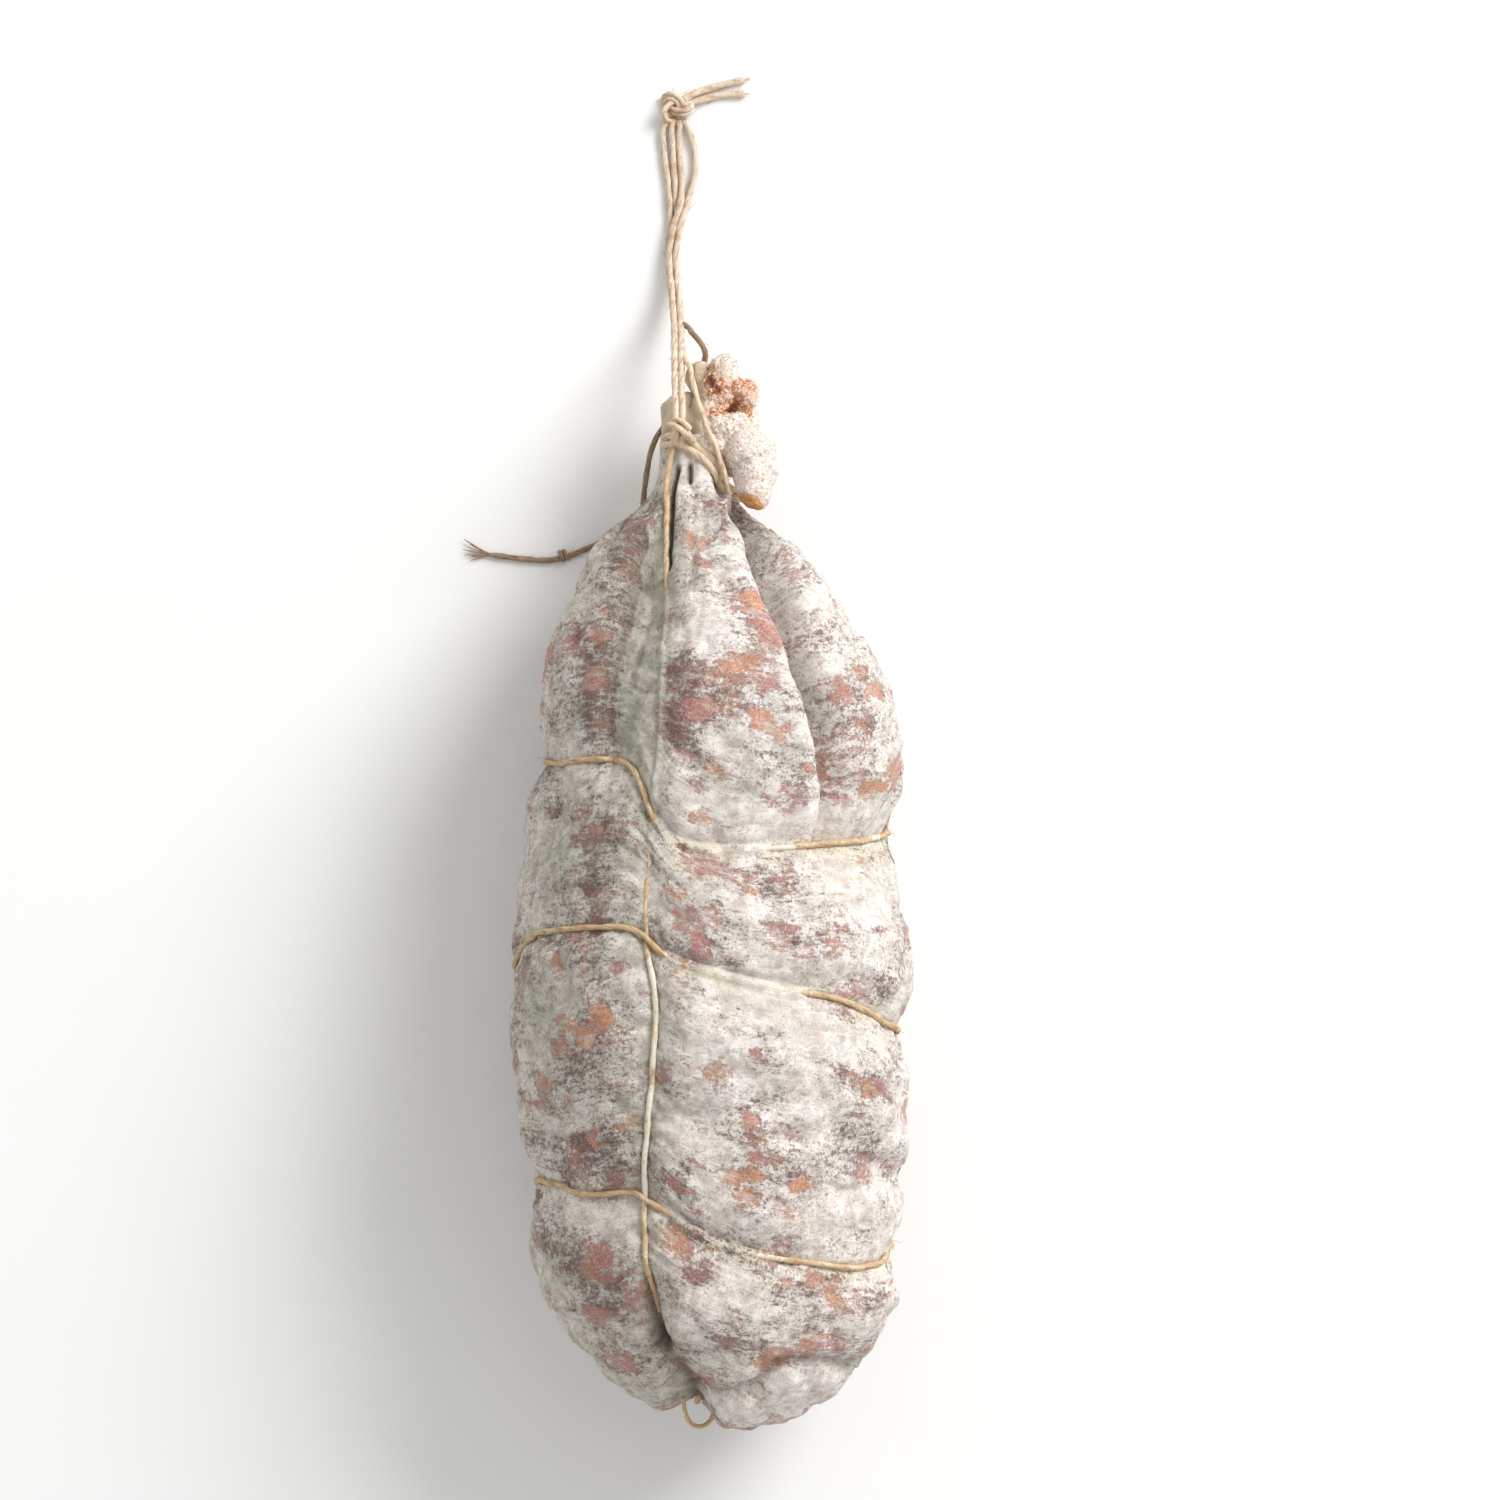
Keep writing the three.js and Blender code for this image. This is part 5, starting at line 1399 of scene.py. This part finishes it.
def lobed_knot(middle, across, along, rise, turn):
    """Knot curve of three lobes: (sin t + 2 sin 2t, cos t - 2 cos 2t) turned and scaled, rising by sin 3t."""
    t = np.linspace(0, 2 * math.pi * 0.97, 60)
    a = np.sin(t) + 2 * np.sin(2 * t)
    b = np.cos(t) - 2 * np.cos(2 * t)
    c, s = math.cos(math.radians(turn)), math.sin(math.radians(turn))
    x = middle[0] + across * (a * c - b * s)
    y = middle[1] + along * (a * s + b * c)
    return smooth_path(np.stack([x, y, middle[2] + rise * np.sin(3 * t)], -1), 0.4)


def frayed_end(path, count, rng, spread, length):
    """Fibre bundles that splay out past the end of a path."""
    end = path[-1]
    ahead = path[-1] - path[-4]
    ahead = ahead / np.linalg.norm(ahead)
    side = np.cross(ahead, [0, 0, 1.0])
    parts = []
    for k in range(count):
        lean = spread * (k / max(count - 1, 1) - 0.5) + rng.normal(0, 0.08)
        reach = length * rng.uniform(0.7, 1.15)
        t = np.linspace(0, 1, 7)[:, None]
        line = end - ahead * 1.2 + ahead * (reach + 1.2) * t + side * lean * reach * t**1.3
        line[:, 2] = np.maximum(line[:, 2] + rng.normal(0, 0.1), 0.25)
        parts.append(twine_arrays(line, diameter=rng.uniform(0.22, 0.5), thin_ends=0.7))
    return parts


def build_free_twine():
    """The hanging strands, their knot and frayed ends, and the loose end at the left shoulder."""
    rng = np.random.default_rng(SEEDS["free"])
    knot = lobed_knot(**END_KNOT)
    side, _ = frames_along(knot)
    doubled = [twine_arrays(knot + side * shift, diameter=1.3) for shift in (-KNOT_SPREAD, KNOT_SPREAD)]
    ends = [add_twine("top_knot", doubled + fibres_at(knot, 14, rng), ["hanging_knot"], FREE_TWINE)]
    for k, route in enumerate(END_TAILS):
        path = smooth_path([TAIL_ROOTS[k]] + route, 0.5)
        parts = [twine_arrays(path, diameter=1.9)] + frayed_end(path, 9, rng, 0.45, 1.6)
        parts += fibres_at(path, 10, rng)
        ends.append(add_twine(f"top_knot_end_{k + 1}", parts, [f"hanging_tail_{k + 1}"], FREE_TWINE))
    for k in range(4):
        node = f"hanging_strand_{k + 1}"
        path = smooth_path(hanging_route(k), 0.5)
        into_knot = path[-1] + 0.35 * (np.array(END_KNOT["middle"]) - path[-1])
        whole = np.vstack([path, into_knot])
        strand = add_twine(f"{node}_twine", [twine_arrays(whole, STRAND_DIAMETER)], [node], FREE_TWINE)
        fibres = add_twine(f"{node}_fibres", fibres_at(path, 16, rng), [], FREE_TWINE)
    path = smooth_path(SIDE_END, 0.5)
    whole = twine_arrays(smooth_path([SIDE_END_ROOT] + SIDE_END, 0.5), thin_ends=0.3)
    side_end = add_twine("side_end_twine", [whole], ["side_end"], TWINE_IN_SHADE)
    parts = frayed_end(path, 9, rng, 0.95, 6) + fibres_at(path, 20, rng)
    parts.append(twine_arrays(knot_path(**SIDE_KNOT), diameter=1.1))
    fibres = add_twine("side_end_fibres", parts, [], TWINE_IN_SHADE)


# Stage and light

# The table top is this far under the sausage, so that the two don't flicker, in metres
FLOOR_DROP = 0.0001


def add_floor():
    """A wide pale table top at the level that the sausage rests on."""
    half = 3.0
    corners = [(-half, -half, 0), (half, -half, 0), (half, half, 0), (-half, half, 0)]
    mesh = bpy.data.meshes.new("table_top")
    mesh.from_pydata(corners, [], [(0, 1, 2, 3)])
    floor = bpy.data.objects.new("table_top", mesh)
    floor.location.z = -FLOOR_DROP
    bpy.context.scene.collection.objects.link(floor)
    look = Look("table_paint")
    tint = look.mottled(look.place(), 60, 2, 0.5, (247, 247, 246), (250, 250, 249))
    mesh.materials.append(look.finish(tint, 0.8, None, Specular_IOR_Level=0.2))


# Light: a white room, and one large soft lamp from the upper right, in metres and watts
ROOM_STRENGTH = 0.62
LAMP = {"place": (1.45, 1.35, 1.5), "target": (0, 0, 0.03), "side": 1.2, "power": 53}


def add_light():
    """The white room and the square soft lamp that faces the sausage."""
    scene = bpy.context.scene
    world = bpy.data.worlds.new("studio")
    world.use_nodes = True
    background = world.node_tree.nodes["Background"]
    background.inputs["Color"].default_value = (1, 1, 1, 1)
    background.inputs["Strength"].default_value = ROOM_STRENGTH
    scene.world = world
    data = bpy.data.lights.new("key_light", "AREA")
    data.size = LAMP["side"]
    data.energy = LAMP["power"]
    lamp = bpy.data.objects.new("key_light", data)
    lamp.location = LAMP["place"]
    aim = Vector(LAMP["target"]) - Vector(LAMP["place"])
    lamp.rotation_euler = aim.to_track_quat("-Z", "Y").to_euler()
    scene.collection.objects.link(lamp)
    scene.view_settings.view_transform = "Standard"
    scene.view_settings.look = "None"


build_free_twine()
build_casing()
build_knob()
build_rings()
build_lengthwise()
build_neck()
add_floor()
add_light()
